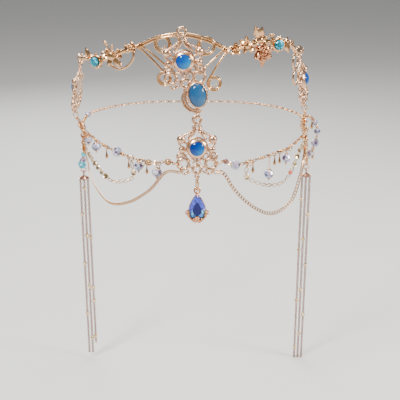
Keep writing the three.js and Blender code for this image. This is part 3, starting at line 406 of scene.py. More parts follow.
PLAQUES = {
    "upper": facing(crown(-2.0, 51.4, 0.9), -3, 0, 3.6),
    "lower": facing(on_plan(SWAG, 1.4, 0), 1.4, 3),
    "left": facing(crown(-84.5, 19.4, 1.3), -96, 9),
    "right": facing(crown(81.8, 25.6, 0.9), 72, 8),
}


# The foot of the eyelet's band under a plaque
def eye_of(name, below=0.0):
    return PLAQUES[name] @ V((0, EYELET.y - below - EYELET.band, EYELET.plate / 2))


# Curve through points, with the same spacing rule as the solids' routes.
def spline(points, count):
    points = [V(p) for p in points]
    ends = [points[0] * 2 - points[1], *points, points[-1] * 2 - points[-2]]
    fine = []
    for i in range(1, len(ends) - 2):
        p0, p1, p2, p3 = ends[i - 1:i + 3]
        d0, d1, d2 = (max((b - a).length ** 0.5, 1e-4) for a, b in ((p0, p1), (p1, p2), (p2, p3)))
        t1 = ((p1 - p0) / d0 - (p2 - p0) / (d0 + d1) + (p2 - p1) / d1) * d1
        t2 = ((p2 - p1) / d1 - (p3 - p1) / (d1 + d2) + (p3 - p2) / d2) * d1
        for k in range(40):
            t = k / 40
            fine.append(p1 + t1 * t + (-3 * p1 + 3 * p2 - 2 * t1 - t2) * t ** 2
                        + (2 * p1 - 2 * p2 + t1 + t2) * t ** 3)
    fine.append(points[-1])
    return Route(fine).spaced(count) if count else fine


class Route:
    """A line that gives points at shares or millimetres of its length."""

    def __init__(self, points):
        self.points = points
        self.marks = [0.0]
        for a, b in zip(points, points[1:]):
            self.marks.append(self.marks[-1] + (b - a).length)
        self.length = self.marks[-1]

    def at(self, distance):
        distance = min(max(distance, 0), self.length)
        for i in range(len(self.marks) - 1):
            if self.marks[i + 1] >= distance:
                break
        span = self.marks[i + 1] - self.marks[i]
        share = (distance - self.marks[i]) / span if span else 0
        return self.points[i].lerp(self.points[i + 1], share)

    def share(self, share):
        return self.at(share * self.length)

    def along(self, share):
        d = share * self.length
        return (self.at(d + 0.3) - self.at(d - 0.3)).normalized()

    def spaced(self, count):
        return [self.share(i / (count - 1)) for i in range(count)]


def route(points):
    return Route(spline(points, 0))


# Filigree plaque: wires, beads and scrolls in the plaque's own plane, right half; x is mirrored.
PLAQUE_BEADS = [(9.5, 5.25, 2.2), (9.0, -1.0, 1.75)]
PLAQUE_BEAD = [(0, 0), (1.1, 0), (1.25, 0.35), (1.1, 0.95), (0.6, 1.4), (0, 1.5)]
# Loops: x, y, radius, wire
PLAQUE_LOOPS = [(9.75, -5.5, 2.25, 0.55), (8.5, -10.0, 3.3, 0.7), (7.3, -14.6, 1.75, 0.5)]
PLAQUE_WIRES = [
    (0.6, [(1.3, 13.6), (2.2, 11.3), (4.6, 9.2), (7.6, 7.8), (9.3, 6.6)]),
    (0.7, [(0.5, 12.4), (1.6, 9.6), (3.8, 7.4), (5.4, 5.6)]),
    (0.5, [(5.9, 2.6), (8.2, 3.6), (9.4, 4.6)]),
    (0.4, [(6.5, 0.0), (8.6, 0.6), (10.9, 2.4), (11.2, 4.6)]),
    (0.5, [(6.4, -1.4), (8.1, -2.9), (8.6, -4.1)]),
    (0.5, [(5.6, -3.4), (6.7, -4.6), (6.4, -6.4), (5.0, -7.0), (3.9, -6.3)]),
    (0.5, [(2.9, -9.6), (1.6, -8.4), (2.3, -6.9), (4.2, -7.4), (4.9, -9.2), (4.1, -11.3)]),
    (0.5, [(3.2, -12.6), (4.4, -11.7), (5.6, -12.4)]),
    (0.4, [(3.4, -14.3), (4.8, -15.6), (6.4, -15.4)]),
]
BEZEL = Sizes(outer=6.45, inner=5.15, lip=2.9)


def plaque(name):
    made = Piece(PLAQUES[name])
    level = PLATE / 2
    # Cup with a smooth rim that folds over the stone
    rim, wall, lip = BEZEL.outer, BEZEL.inner, BEZEL.lip
    cup = [(0, 0), (rim + 0.2, 0), (rim + 0.35, 0.5), (rim + 0.1, 1.1), (rim, 1.9), (rim - 0.4, lip - 0.2),
           (wall + 0.3, lip + 0.3), (wall - 0.3, lip + 0.8), (wall - 0.72, lip + 0.98),
           (wall - 0.76, lip + 0.75), (wall, 2.4), (wall, 0.8), (0, 0.8)]
    made.add(lathe(cup, 48))
    # Rings at the top and foot
    made.add(torus(2.35, 0.95, 28, 10), moved(0, 17.1, level))
    made.add(torus(2.4, 1.1, 28, 10), moved(0, -13.4, level))
    made.add(torus(1.3, 0.45, 20), moved(0, EYELET.y, EYELET.plate / 2))
    made.add(sweep([(0, -6.2, 0.7), (0, -8.4, 0.9), (0, -11.2, 0.8)], [0.7, 0.95, 0.7]))
    made.add(ball(0.85, 12), moved(0, -9.0, 1.2))
    made.add(ball(0.8, 12), moved(0, 11.6, 1.0))
    for side in (-1, 1):
        for x, y, r in PLAQUE_BEADS:
            bead = [(r * across, r * up) for across, up in PLAQUE_BEAD]
            made.add(lathe(bead, 20), moved(side * x, y, 0))
        for x, y, radius, wire in PLAQUE_LOOPS:
            made.add(torus(radius, 1.45 * wire, 28), moved(side * x, y, level))
        x, y, radius, _ = PLAQUE_LOOPS[0]
        hook = [(side * (x + share * radius), y + lift, level)
                for share, lift in ((-0.95, 0.5), (-0.4, 0.4), (0.15, -0.2))]
        made.add(sweep(hook, [0.7, 0.8, 0.95]))
        made.add(ball(1.05, 12), moved(*hook[-1]))
        made.add(torus(1.0, 0.42, 16), moved(side * 1.75, 12.9, level))
        for n, (wire, points) in enumerate(PLAQUE_WIRES):
            line = spline([(side * x, y, level) for x, y in points], 14)
            made.add(sweep(line, [1.4 * wire * share for share in swell(0.7, 0.3, 14)]))
            made.add(ball(1.3 * wire, 10), moved(*line[-1]))
            for bead in line[3:12:2] if n == 0 else ():
                made.add(ball(0.72, 10), moved(bead.x, bead.y, level + 0.5))
    made.make(f"{name}_filigree", [f"{name}_plaque"], ANTIQUE)


# A domed stone with painted light: lighter and greener where light gathers low on one side, and painted shade
# darkening it towards the rim.
def cabochon(name, node, matrix, half, deep, glow, slot, dark=0.5):
    made = Piece(matrix)
    girdle, top = STONE.girdle, STONE.dome
    profile = [(0, 0), (0.93, 0), (1, 0.25), (1, girdle)]
    for i in range(1, 10):
        turn = pi / 2 * i / 9
        profile.append((cos(turn) if i < 9 else 0, girdle + top * sin(turn)))
    made.add(lathe(profile, 48), moved(0, 0, STONE.seat) @ Matrix.Diagonal((half[0], half[1], 1, 1)))
    inverse = matrix.inverted()

    def shade(where, _):
        p = inverse @ where
        x, y = p.x / half[0], p.y / half[1]
        # Painted light: the colour runs from deep to glow where light gathers low on one side.
        light = max(0.0, min(1.0, 0.45 + 0.6 * (0.7 * x - 0.75 * y)))
        edge = min(1.0, math.hypot(x, y))
        k = light ** 2.6
        # Painted shade towards the rim; dark sets how strong it is.
        shadow = 1 - dark * edge ** 3
        return tuple((d + (g - d) * k) * shadow for d, g in zip(deep, glow))

    made.make(name, [node], STONE_GLASS, slot, smooth=60, shade=shade)


OVAL = Sizes(half=(5, 7), roll=10, wall=1.0, eyelet=9.6)
OVAL_AT = facing(crown(3.8, 32.2, 5.8), 0, 4)
for place in PLAQUES:
    plaque(place)
    # deep is the stone's colour in painted shade, glow its colour in painted light.
    deep = (0.003, 0.065, 0.36) if place != "lower" else (0.003, 0.035, 0.26)
    glow = (0.01, 0.46, 0.86) if place != "lower" else (0.01, 0.34, 0.85)
    cabochon(f"{place}_stone", f"{place}_cabochon", PLAQUES[place], (5, 5), deep, glow, "blue_glass")
oval_turn = OVAL_AT @ turned(OVAL.roll, "Z")
# The oval stone has milder painted rim shade.
cabochon("oval_stone", "oval_cabochon", oval_turn, OVAL.half, (0.02, 0.10, 0.25), (0.07, 0.22, 0.40),
         "pale_blue_glass", 0.35)


# Oval setting: a cup with a toothed rim, two crescents, the hidden loop and the eyelet under it.
CRESCENTS = [
    [(-1.05, 0.42), (-1.42, -0.12), (-1.36, -0.62), (-0.88, -1.08), (-0.16, -1.22), (0.4, -1.08)],
    [(-1.02, 0.38), (-1.16, -0.24), (-0.96, -0.76), (-0.44, -1.06), (0.24, -1.06)],
]
upper_eye = eye_of("upper")
HUNG_RING = V((upper_eye.x, upper_eye.y, upper_eye.z - LINK.ring + EYELET.band))
OVAL_LOOP = HUNG_RING + DOWN * (2 * LINK.ring - LINK.wire - GAP - 0.1)


# A ring whose plane holds two directions.
def ring_in(centre, one, other, radius=LINK.ring, wire=LINK.wire):
    x = V(one).normalized()
    z = x.cross(V(other)).normalized()
    return Piece(basis(x, z.cross(x), z, centre)).add(torus(radius, wire / 2)).form()


def oval_setting():
    made = Piece(OVAL_AT)
    rx, ry = (h + GAP + OVAL.wall for h in OVAL.half)
    tilt = turned(OVAL.roll, "Z")
    cup = [(0, 0), (0.96, 0), (0.98, 0.5), (0.95, 1.0), (0.93, 2.1), (0.9, 2.5), (0.85, 2.6), (0.82, 2.4),
           (0.83, 0.8), (0, 0.8)]
    made.add(lathe(cup, 56), tilt @ Matrix.Diagonal((rx, ry, 1, 1)))
    for i in range(26):
        turn = tau * i / 26
        place = tilt @ moved(0.93 * rx * cos(turn), 0.93 * ry * sin(turn), 2.3)
        made.add(ball(0.42, 8), place)
    for points in CRESCENTS:
        line = spline([(x * rx, y * ry, 0.55) for x, y in points], 30)
        made.add(sweep(line, swell(0.5, 0.35, 30)))
        made.add(ball(0.8, 10), moved(*line[0]))
    made.add(torus(1.65, 0.42, 22), moved(0, -OVAL.eyelet, 0.4))
    made.add(sweep([(0, -7.6, 0.5), (0, -8.2, 0.45)], 0.6))
    made.matrix = Matrix.Identity(4)
    made.add(ring_in(OVAL_LOOP, UP, ACROSS))
    foot = OVAL_LOOP + DOWN * LINK.ring
    inner = OVAL_AT @ V((-0.55 * rx, (OVAL_AT.inverted() @ foot).y, 0.4))
    made.add(sweep([foot, inner], 0.35))
    made.make("oval_cup", ["oval_setting"], ANTIQUE)


oval_setting()


def jump_ring(place, centre, along, radius):
    made = Piece().add(ring_in(centre, along, (0, 1, 0), radius))
    made.make(f"{place}_ring", [f"{place}_jump_ring"])


jump_ring("upper", HUNG_RING, UP, LINK.ring)
oval_foot = OVAL_AT @ V((0, -OVAL.eyelet - 1.7, EYELET.plate / 2))
top_band = PLAQUES["lower"] @ PLAQUE_TOP
reach = {"eyelet": 0.85, "top": 1.4}
span = top_band - oval_foot
jump_ring("lower", (oval_foot + top_band) / 2 + span.normalized() * (reach["top"] - reach["eyelet"]) / 2,
          span, (span.length + reach["eyelet"] + reach["top"] + LINK.wire) / 2 + GAP)


# Front arch: two wires, struts, curls and the sleeves at its feet
ARCH = Sizes(wire=1.1, pitch=1.5, bearing=-2.6, span=39.5, foot=58.6, rise=8.6, tilt=1.0)
# Curls: bearing, height from the arch's foot, radius
ARCH_CURLS = [(-11.6, 2.0, 4.4), (7.9, 1.1, 4.8), (11.6, -21.4, 3.8), (-11.0, -18.4, 3.7)]
# Struts: which foot, drop there, bearing and height of the other end
STRUTS = [(-1, -0.2, -9.6, -11.2), (-1, 1.7, -10.4, -15.4), (1, -0.2, 6.6, -12.5), (1, 1.7, 8.4, -20.2)]


def arch_at(share, drop=0.0):
    bearing = ARCH.bearing + share * ARCH.span / 2
    height = ARCH.foot + ARCH.rise * (1 - share * share) - ARCH.tilt * share
    return crown(bearing, height - drop)


def bound(made, wires, turns, pitch, start, step):
    """Fine wire wound round a bundle of wires at one place."""
    axis = step.normalized()
    side = axis.orthogonal().normalized()
    other = axis.cross(side)
    points = []
    for i in range(turns * 12 + 1):
        turn = tau * i / 12
        around = side * cos(turn) + other * sin(turn)
        points.append(start + axis * (pitch * i / 12) + around * wires)
    made.add(sweep(points, 0.28, 6))


def front_arch():
    made = Piece()
    for drop in (0, ARCH.pitch):
        made.add(sweep([arch_at(-1 + i / 24, drop) for i in range(49)], 0.68, 12))
    for end in (-1, 1):
        middle = arch_at(end, ARCH.pitch / 2)
        along = (middle - arch_at(0.95 * end, ARCH.pitch / 2)).normalized()
        made.add(sweep([middle - along * 1.7, middle + along * 1.7], 1.45, 14))
        bound(made, 1.55, 5, 0.62, middle - along * 1.6, along)
    for foot, drop, bearing, height in STRUTS:
        low = crown(bearing, ARCH.foot + height)
        high = arch_at(foot, drop)
        bow = high.lerp(low, 0.5) + V((0, -0.4, 0.5))
        made.add(sweep(spline([high, bow, low], 24), 0.62, 10))
    for bearing, height, radius in ARCH_CURLS:
        place = facing(crown(bearing, ARCH.foot + height), bearing)
        for shift in (0.42, -0.45):
            made.add(torus(radius + shift, 0.55, 40), place)
        # The free end of the curl winds inwards.
        inner = []
        for i in range(22):
            turn = pi * 0.5 + 1.35 * pi * i / 21
            inner.append(polar(radius * (0.93 - 0.5 * i / 21), turn, 0.1))
        made.add(sweep(inner, [0.5 - 0.012 * i for i in range(22)]), place)
        made.add(ball(0.62, 10), place @ moved(*inner[-1]))
    made.make("arch_wires", ["front_arch"])


front_arch()

# Branches with nodes and bark marks, and the loose wires along them
BRANCHES = {
    "left": [(-24.6, 58.2), (-29, 56), (-35, 52.6), (-42, 48.6), (-50, 46.6), (-60, 45.4), (-71, 43),
             (-78, 42.4)],
    "right": [(20, 57.6), (26, 59), (33, 60), (41, 59), (50, 57.6), (60, 52.6), (67, 47.5), (74, 47.8)],
}
HOOKS = {
    "left": [(-26, 56.6), (-25.8, 51.5), (-28.8, 46.4), (-33.5, 43.6), (-38, 44.6), (-41, 48.2)],
    "right": [(47, 57.8), (55, 57.4), (61.5, 51.8), (65.5, 46.8)],
}
SIDE_CURLS = {"left": [], "right": [(65, 42.4, 5), (66.5, 31.6, 5.4)]}
BRANCH_RING = Sizes(radius=2.6, rise=0.7)


def branch(side):
    made = Piece()
    matrix = PLAQUES[side]
    up = (matrix.to_3x3() @ V((0, 1, 0))).normalized()
    out = (matrix.to_3x3() @ V((0, 0, 1))).normalized()
    ring = matrix @ PLAQUE_TOP + up * BRANCH_RING.rise
    made.add(ring_in(ring, up, out, BRANCH_RING.radius))
    points = [crown(b, h) for b, h in BRANCHES[side]] + [ring + up * BRANCH_RING.radius]
    count = 90
    line = spline(points, count)
    chance = random.Random(3)
    radii = [1.3 + 0.25 * sin(0.9 * i) * sin(0.37 * i) + 0.12 * chance.random()
             for i in range(count)]
    made.add(sweep(line, radii, 10))
    for i in range(6, count - 10, 5):
        shift = V((chance.uniform(-0.4, 0.4), chance.uniform(-0.9, 0), chance.uniform(-0.9, 0.9)))
        made.add(ball(chance.uniform(1.1, 1.7), 12, 0.8), moved(*(line[i] + shift)))
    for i in range(8, count - 14, 7):
        a = line[i]
        along = (line[i + 1] - a).normalized()
        across = UP.cross(along).normalized()
        sprig = basis(along, across.cross(along) * -1, across * -1, a)
        turn = chance.choice((35, -35, 140, -140)) + chance.uniform(-15, 15)
        sprig = sprig @ turned(turn, "Z") @ moved(0, 0.5, 0.6)
        made.add(leaf(chance.uniform(3.4, 4.6), 2.2, 0.4, 0.5, 6, 6), sprig)
    made.add(sweep(spline([crown(b, h) for b, h in HOOKS[side]], 40), 0.72))
    for bearing, height, radius in SIDE_CURLS[side]:
        place = facing(crown(bearing, height), bearing)
        made.add(torus(radius, 0.6, 36), place)
    made.make(f"{side}_twig", [f"{side}_branch"])


# A leaf along +y: a bowed blade with a midrib and side veins, and a rim that turns down.
def leaf(length, width, cup=0.5, thick=0.45, rows=9, cols=8):
    verts, faces = [], []
    for back in (0, 1):
        for i in range(rows + 1):
            u = i / rows
            half = width / 2 * (sin(pi * min(1, u * 1.02 + 0.03)) ** 0.75) * (1 - 0.25 * u)
            if i in (0, rows):
                half = 0.04 * width
            for j in range(cols + 1):
                s = 2 * j / cols - 1
                vein = 0.12 * cos(9 * pi * (u + 0.25 * abs(s))) * (1 - abs(s))
                rib = 0.35 * math.exp(-(s * 5) ** 2)
                z = cup * (sin(pi * u) * 0.6 - s * s * 0.8 + vein + rib)
                verts.append(V((s * half, u * length, z - (thick if back else 0))))
    row = cols + 1
    size = row * (rows + 1)
    for i in range(rows):
        for j in range(cols):
            a = i * row + j
            faces.append((a, a + 1, a + row + 1, a + row))
            faces.append((size + a, size + a + row, size + a + row + 1, size + a + 1))
    edge = [j for j in range(row)] + [i * row + cols for i in range(1, rows + 1)]
    edge += [rows * row + j for j in range(cols - 1, -1, -1)] + [i * row for i in range(rows - 1, 0, -1)]
    for a, b in zip(edge, edge[1:] + edge[:1]):
        faces.append((a, size + a, size + b, b))
    return verts, faces


for side in ("left", "right"):
    branch(side)
ON_TWIG = 1.15 + GAP


def at_twig(bearing, height, out=ON_TWIG, roll=0.0, face=0.5):
    return facing(crown(bearing, height, out), bearing * face, 0, roll)


def petals(made, count, inner, length, width, tip, start=0.0, lift=0.0, cup=0.5):
    for i in range(count):
        place = turned(start + 360 * i / count, "Z") @ moved(0, inner, lift) @ turned(tip, "X")
        made.add(leaf(length, width, cup, 0.35, 6, 6), place)


def blossom(name, length, bearing, height):
    made = Piece(at_twig(bearing, height, 2))
    petals(made, 5, 0.2 * length, 0.85 * length, 0.75 * length, 25, 0, 0.2, 0.6)
    petals(made, 5, 0.15 * length, 0.5 * length, 0.45 * length, 45, 36, 0.6, 0.5)
    heart = [(0, -0.1), (0.38 * length, -0.1), (0.4 * length, 0.5), (0.3 * length, 1.2), (0, 1.5)]
    made.add(lathe(heart, 18))
    for i in range(6):
        made.add(ball(0.32, 8), moved(*polar(0.22 * length, pi * i / 3, 1.6)))
    made.make(name, [name.replace("_flower", "")])


blossom("left_blossom_flower", 3.4, -25.5, 58.2)
blossom("right_blossom_flower", 4.2, 20.8, 57.6)

# Sprays: place on the twig, plate, then a turn, length, width and bud for each leaf
SPRAYS = {
    "left_spray": ((-37.5, 51), 2.4, [
        (18, 8.6, 2.2, 1.1), (-12, 6, 2.2, 1), (-50, 6, 2.4, 1), (62, 5, 3, 0), (112, 5, 3, 0),
        (-128, 8.4, 5.4, 0), (160, 5.4, 3.4, 0), (88, 5.6, 3.2, 0), (-88, 4.6, 3, 0), (38, 4.6, 3.2, 0)]),
    "right_spray": ((27, 58.8), 1.8, [
        (12, 5.6, 3, 0), (62, 6, 3, 0), (-80, 6, 2.8, 0), (150, 4.4, 3, 0), (-140, 4.8, 3, 0)]),
    "upper_spray": ((33.6, 61.4), 1.8, [
        (24, 8.6, 5.6, 0), (-6, 7.4, 4.2, 0), (100, 5, 3.6, 0), (-66, 7, 2.6, 1.2)]),
}
for name, (at, plate, rows) in SPRAYS.items():
    made = Piece(at_twig(*at))
    made.add(lathe([(0, 0), (plate, 0), (plate, 0.5), (0.5 * plate, 1.2), (0, 1.3)], 20))
    for turn, long, width, bud in rows:
        place = turned(turn, "Z") @ moved(0, 0.5 * plate, 0) @ turned(14, "X")
        if bud:
            made.add(sweep([(0, 0, 0.4), (0.3, 0.5 * long, 0.5), (0, 0.9 * long, 0.4)], 0.42), place)
            made.add(leaf(0.55 * long, width, 0.4), place)
            tip = place @ moved(0, 0.95 * long, 0.4)
            made.add(ball(bud, 14), tip)
            made.add(ball(0.4 * bud, 8), tip @ moved(0, 0.95 * bud, 0))
        else:
            made.add(leaf(long, width, 0.6), place)
    made.make(f"{name}_leaves", [name])


# Rose: overlapping cupped petals round a spiral heart, with a leaf under it
def rose():
    made = Piece(at_twig(35.4, 53.6) @ Matrix.Scale(1.3, 4))
    r = 5.4
    for row in ((6, 1.6, 3.4, 4.4, 16, 0, 0.1), (5, 1.3, 2.6, 3.6, 42, 36, 0.7),
                (4, 0.9, 1.9, 2.6, 66, 15, 1.0)):
        petals(made, *row, 0.8)
    for turn, reach, high, part in (
            (0, 0.5, 3.0, 1.7), (150, 1.1, 2.7, 1.5), (280, 1.7, 2.3, 1.3), (60, 2.4, 1.9, 1.1)):
        lip = [polar(reach, rad(turn) + part * (k - 6) / 5, high) for k in range(13)]
        made.add(sweep(lip, swell(0.2, 0.24, 13), 8))
    made.add(lathe([(0, 0), (3.0, 0), (2.4, 1.0), (1.2, 2.2), (0, 2.6)], 20))
    made.add(leaf(1.35 * r, 0.6 * r, 0.6), turned(180, "Z"))
    made.make("rose_flower", ["rose"], ROSE)


rose()

# Rhinestone flowers and their leaves
FLOWER = Sizes(stone=3.4, petals=8, petal=1.5)
FLOWERS = {"left": (-48.5, 45.9), "right": (45, 57)}


def round_stone(radius, depth, tint, seed, sides):
    """A brilliant-like stone with a table, star and kite facets, as a form with a tint for each face: the
    stone's colour, lighter or darker at random on each face as painted glints and painted shade.
    """
    verts = [V((0, 0, 0))]
    rows = []
    for share, shift, high in ((0.46, 0.0, 1.0), (0.74, 0.5, 0.86), (1.0, 0.0, 0.55)):
        rows.append(len(verts))
        verts += [polar(share * radius, tau * (i + shift) / sides, high * depth) for i in range(sides)]
    low = len(verts)
    verts += [polar(radius, tau * i / sides, 0.42 * depth) for i in range(sides)]
    a, b, c = rows
    faces = [tuple(a + i for i in range(sides))]
    for i in range(sides):
        j, k = (i + 1) % sides, (i - 1) % sides
        faces += [(a + i, b + i, a + j), (c + i, b + k, b + i), (b + i, b + k, a + i)]
        faces += [(b + i, c + i, c + j), (c + i, low + i, low + j, c + j), (low + i, 0, low + j)]
    chance = random.Random(seed)
    # Painted light: each face's brightness is chosen at random, for painted glints and dark facets.
    facet_light = [0.6] + [chance.choice((0.25, 0.6, 1.1, 2.0)) for _ in faces[1:]]
    shades = [tuple(min(1.0, k * tone) for k in tint) for tone in facet_light]
    return (verts, faces), lambda i: shades[i]


for n, (side, place) in enumerate(FLOWERS.items()):
    r = FLOWER.stone + GAP
    made = Piece(at_twig(*place))
    for i in range(FLOWER.petals):
        turn = 360 * i / FLOWER.petals
        made.add(leaf(2.6, 2.9, 0.5, 0.4, 6, 6), turned(turn, "Z") @ moved(0, r - 1.1, 0.35))
    cup = [(0, 0), (r + 0.4, 0), (r + 0.5, 0.6), (r, 1.5), (r - 0.35, 1.6), (r - 0.4, 0.8), (0, 0.8)]
    made.add(lathe(cup, 32))
    for i in range(8):
        made.add(ball(0.42, 8), moved(*polar(r - 0.05, pi * (i + 0.5) / 4, 1.75)))
    made.make(f"{side}_flower_cup", [f"{side}_flower_setting"])
    form, tint = round_stone(FLOWER.stone - 0.35, 2.2, (0.03, 0.38, 0.52), 11 + n, 9)
    stone = Piece(at_twig(*place)).add(form, moved(0, 0, 1.25), tint)
    stone.make(f"{side}_flower_gem", [f"{side}_flower_stone"], STONE_GLASS, "turquoise_glass", smooth=0)
for name, place, roll, width in (
        ("left_flower_leaf", (-55, 46.4), 20, 4), ("right_flower_leaf", (51, 57.2), 200, 4.6)):
    made = Piece(at_twig(*place, ON_TWIG + 0.2, roll)).add(leaf(7, width, 0.7))
    made.make(f"{name}_blade", [name])


# Chain routes, as the solids have them
ROUTES = {
    "left_side": [(-84.6, -4, -5), (-82.5, -1, -10), (-81.2, 0, -16.5), (-82, 2, -28), (-84, 6, -38),
                  (-84.4, 8, -44)],
    "right_side": [(75.2, -9, 0), (75, -5, -7), (76.4, -2, -14), (77.4, -1, -27), (79.5, 4, -36),
                   (80.5, 8, -42)],
    "right_strand": [(79.6, -2, -3), (83.4, 3, -7), (86.2, 5, -13), (86.7, 6, -20.5), (84.6, 5.5, -28)],
    "left_bead": [(-75, -22, -11), (-69.5, -45, -6), (-63.5, -61, -5), (-52.5, -72.5, -7.5),
                  (-38, -82.5, -10), (-28, -87, -11), (-16, -90.5, -9.5)],
    "left_sequin": [(-77, -22, -22), (-71.5, -45, -19.5), (-64.5, -59.5, -23), (-56.5, -68.5, -28),
                    (-49.5, -75, -27.5), (-40, -81.5, -22)],
    "left_curb": [(-76, -24, -31), (-73, -42, -31), (-68.5, -53.5, -36.5), (-57.5, -68, -44), (-44, -79, -40),
                  (-29.5, -86.5, -29), (-18.5, -90, -16)],
    "right_bead": [(73, -25, -10), (68, -44, -7.5), (58.5, -62, -9), (48, -73, -9.5), (32.5, -83.5, -11.5),
                   (23, -88.5, -12), (15.5, -91.5, -8.5)],
    "right_sequin": [(72, -32, -15.5), (67, -50, -14.5), (62.5, -57, -24), (55.5, -65.5, -31),
                     (41, -78.5, -28), (30.5, -84.5, -20.5)],
    "right_curb": [(72.5, -32, -27.5), (69, -46, -33.5), (62, -58, -47), (48.5, -72.5, -50), (35.5, -82, -42),
                   (23, -88.5, -28), (15.5, -91.5, -16)],
}
HANGERS = {
    "left": {"bead": 0.376, "sequin": 0.516, "curb": 0.64, "back": 0.24},
    "right": {"bead": 0.383, "sequin": 0.515, "curb": 0.648, "back": 0.24},
}
BITES = {"left_bead": (-1, 178), "left_curb": (-1, 250), "right_bead": (1, 2), "right_curb": (1, -70)}
SEQUIN_ENDS = {"left": 0.755, "right": 0.828}


def top_ring(side):
    return eye_of(side) + DOWN * (LINK.ring - EYELET.band)


SIDE = {side: route([top_ring(side) + DOWN * LINK.ring, *ROUTES[f"{side}_side"]])
        for side in ("left", "right")}


# The end ring of a chain that hangs round a host chain.
def hanger(host, share, wire, towards):
    tangent = host.along(share)
    here = host.share(share)
    way = V(towards) - here
    along = (way - tangent * way.dot(tangent)).normalized()
    seat = LINK.ring - LINK.wire / 2 - wire - GAP - HOST_SLACK
    return Sizes(centre=here + along * seat, along=along, across=tangent.cross(along), radius=LINK.ring)


def end_ring(row):
    return ring_in(row.centre, row.along, row.across, row.radius)


def past(row):
    return row.centre + row.along * row.radius


def start_of(name):
    side, kind = name.split("_")
    share = HANGERS[side][kind]
    towards = SIDE[side].share(share) + V((0, 1, 0)) if kind == "back" else ROUTES[name][0]
    return hanger(SIDE[side], share, SIDE_WIRE, towards)


def plaque_end(name):
    side, angle = BITES[name]
    x, y = cos(rad(angle)), sin(rad(angle))
    away = FOOT_LOOP.middle + FOOT_LOOP.out
    centre = PLAQUES["lower"] @ V((side * FOOT_LOOP.x + away * x, FOOT_LOOP.y + away * y, PLATE / 2))
    spin = PLAQUES["lower"].to_3x3()
    return Sizes(centre=centre, along=spin @ V((x, y, 0)), across=spin @ V((0, 0, 1)), radius=2.05)


def sequin_end(name):
    side = name.split("_")[0]
    return hanger(swag(f"{side}_bead"), SEQUIN_ENDS[side], BEAD_WIRE, ROUTES[name][-1])


def ends_of(name):
    return start_of(name), plaque_end(name) if name in BITES else sequin_end(name)


def swag(name):
    start, end = ends_of(name)
    return route([past(start), *ROUTES[name], past(end)])


# A chain's line, and a piece that holds the rings at its ends
def hung(name):
    start, end = ends_of(name)
    return swag(name), Piece().add(end_ring(start)).add(end_ring(end))


# A place on a line at some millimetres along it: x runs along the line, z outwards or as given.
def seat_on(line, low, high, out=None, lean=False):
    a, b = line.at(low), line.at(high)
    x = (b - a).normalized()
    face = V(out(a)) if out else V((a.x - SWAG.centre_x, a.y, 0)).normalized()
    face = (face - x * face.dot(x)).normalized()
    if lean:
        face = (0.55 * face + V((0, -0.45, 0.1))).normalized()
        face = (face - x * face.dot(x)).normalized()
    return basis(x, face.cross(x), face, (a + b) / 2)


# Links along a line: each link lies along it and is turned a little past the one before.
def links(made, line, first, last, length, width, wire, turn=90.0, out=None, count=12, sides=5, skip=()):
    form = oval(length, width, wire, count, sides)
    pitch = length - 2.2 * wire
    total = max(1, round((last - first) / pitch))
    pitch = (last - first) / total
    for i in range(total):
        d = first + (i + 0.5) * pitch
        if any(low < d < high for low, high in skip):
            continue
        place = seat_on(line, d - pitch / 2, d + pitch / 2, out)
        made.add(form, place @ turned(turn * i if turn == 90 else turn, "X"))


def facing_out(line, share):
    p = line.share(share)
    out = V((p.x - SWAG.centre_x, p.y, 0)).normalized()
    return basis(UP.cross(out), UP, out, p)


# A cut crystal on a pin or on the chain: rows of facets, each with a tint chosen at random from painted
# reflections: white glints, dark facets, lavender and pink.
def crystal_form(radius, seed, pin, sides=10):
    radius = 1.08 * radius
    half = 0.86 * radius
    end = [(0, half), (max(0.32 * radius, pin), half), (0.72 * radius, 0.72 * half), (radius, 0.16 * half)]
    form = lathe([(r, -z) for r, z in end] + end[::-1], sides)
    chance = random.Random(seed)
    # Painted reflections for the clear crystal's facets, from near white to near black.
    reflected_tints = [(0.9, 0.9, 0.96), (0.42, 0.36, 0.66), (0.6, 0.42, 0.52), (0.06, 0.06, 0.12), (0.56, 0.56, 0.68),
            (0.24, 0.34, 0.56), (0.16, 0.12, 0.22), (0.36, 0.36, 0.48)]
    shades = [chance.choice(reflected_tints) for _ in form[1]]
    return form, lambda i: shades[i]


def threaded(line, share):
    """A place on a line whose z runs along it."""
    return moved(*line.share(share)) @ line.along(share).to_track_quat("Z", "Y").to_matrix().to_4x4()


def crystal(name, radius, seed, place, nodes=()):
    form, tint = crystal_form(radius, seed, 0.5)
    Piece().add(form, place, tint).make(name, nodes, CRYSTAL_GLASS, "clear_glass", smooth=0)


def bead(name, form, place, color, slot=None, nodes=()):
    Piece().add(form, place, color).make(name, nodes, PEARL, slot)


CRYSTALS = {
    "left_bead": [(0.14, 4.2, 2.6), (0.47, 4.6, 2.9), (0.66, 0, 3), (0.795, 4.2, 3), (0.895, 6.4, 3)],
    "right_bead": [(0.9, 0, 3.1), (0.68, 12.4, 3), (0.54, 6, 3)],
}
STRUNG = {
    "left_bead": {"disc": [0.855, 0.955], "ball": [0.56, 0.7], "ring": [0.82],
                  "stick": [0.58, 0.735, 0.842, 0.91]},
    "right_bead": {"ball": [0.58, 0.42, 0.73], "ring": [0.5, 0.81], "stick": [0.79, 0.64, 0.6]},
}


def stick_form():
    profile = [(0, -1.2), (0.35, -1.4), (0.4, -3.0), (0.6, -4.6), (1.0, -6.2), (0.95, -7.0), (0.5, -7.6),
               (0, -7.7)]
    ring = torus(0.85, 0.3, 14, 6)
    return Piece().add(lathe(profile, 12)).add(ring, turned(90, "X") @ moved(0, -0.5, 0)).form()


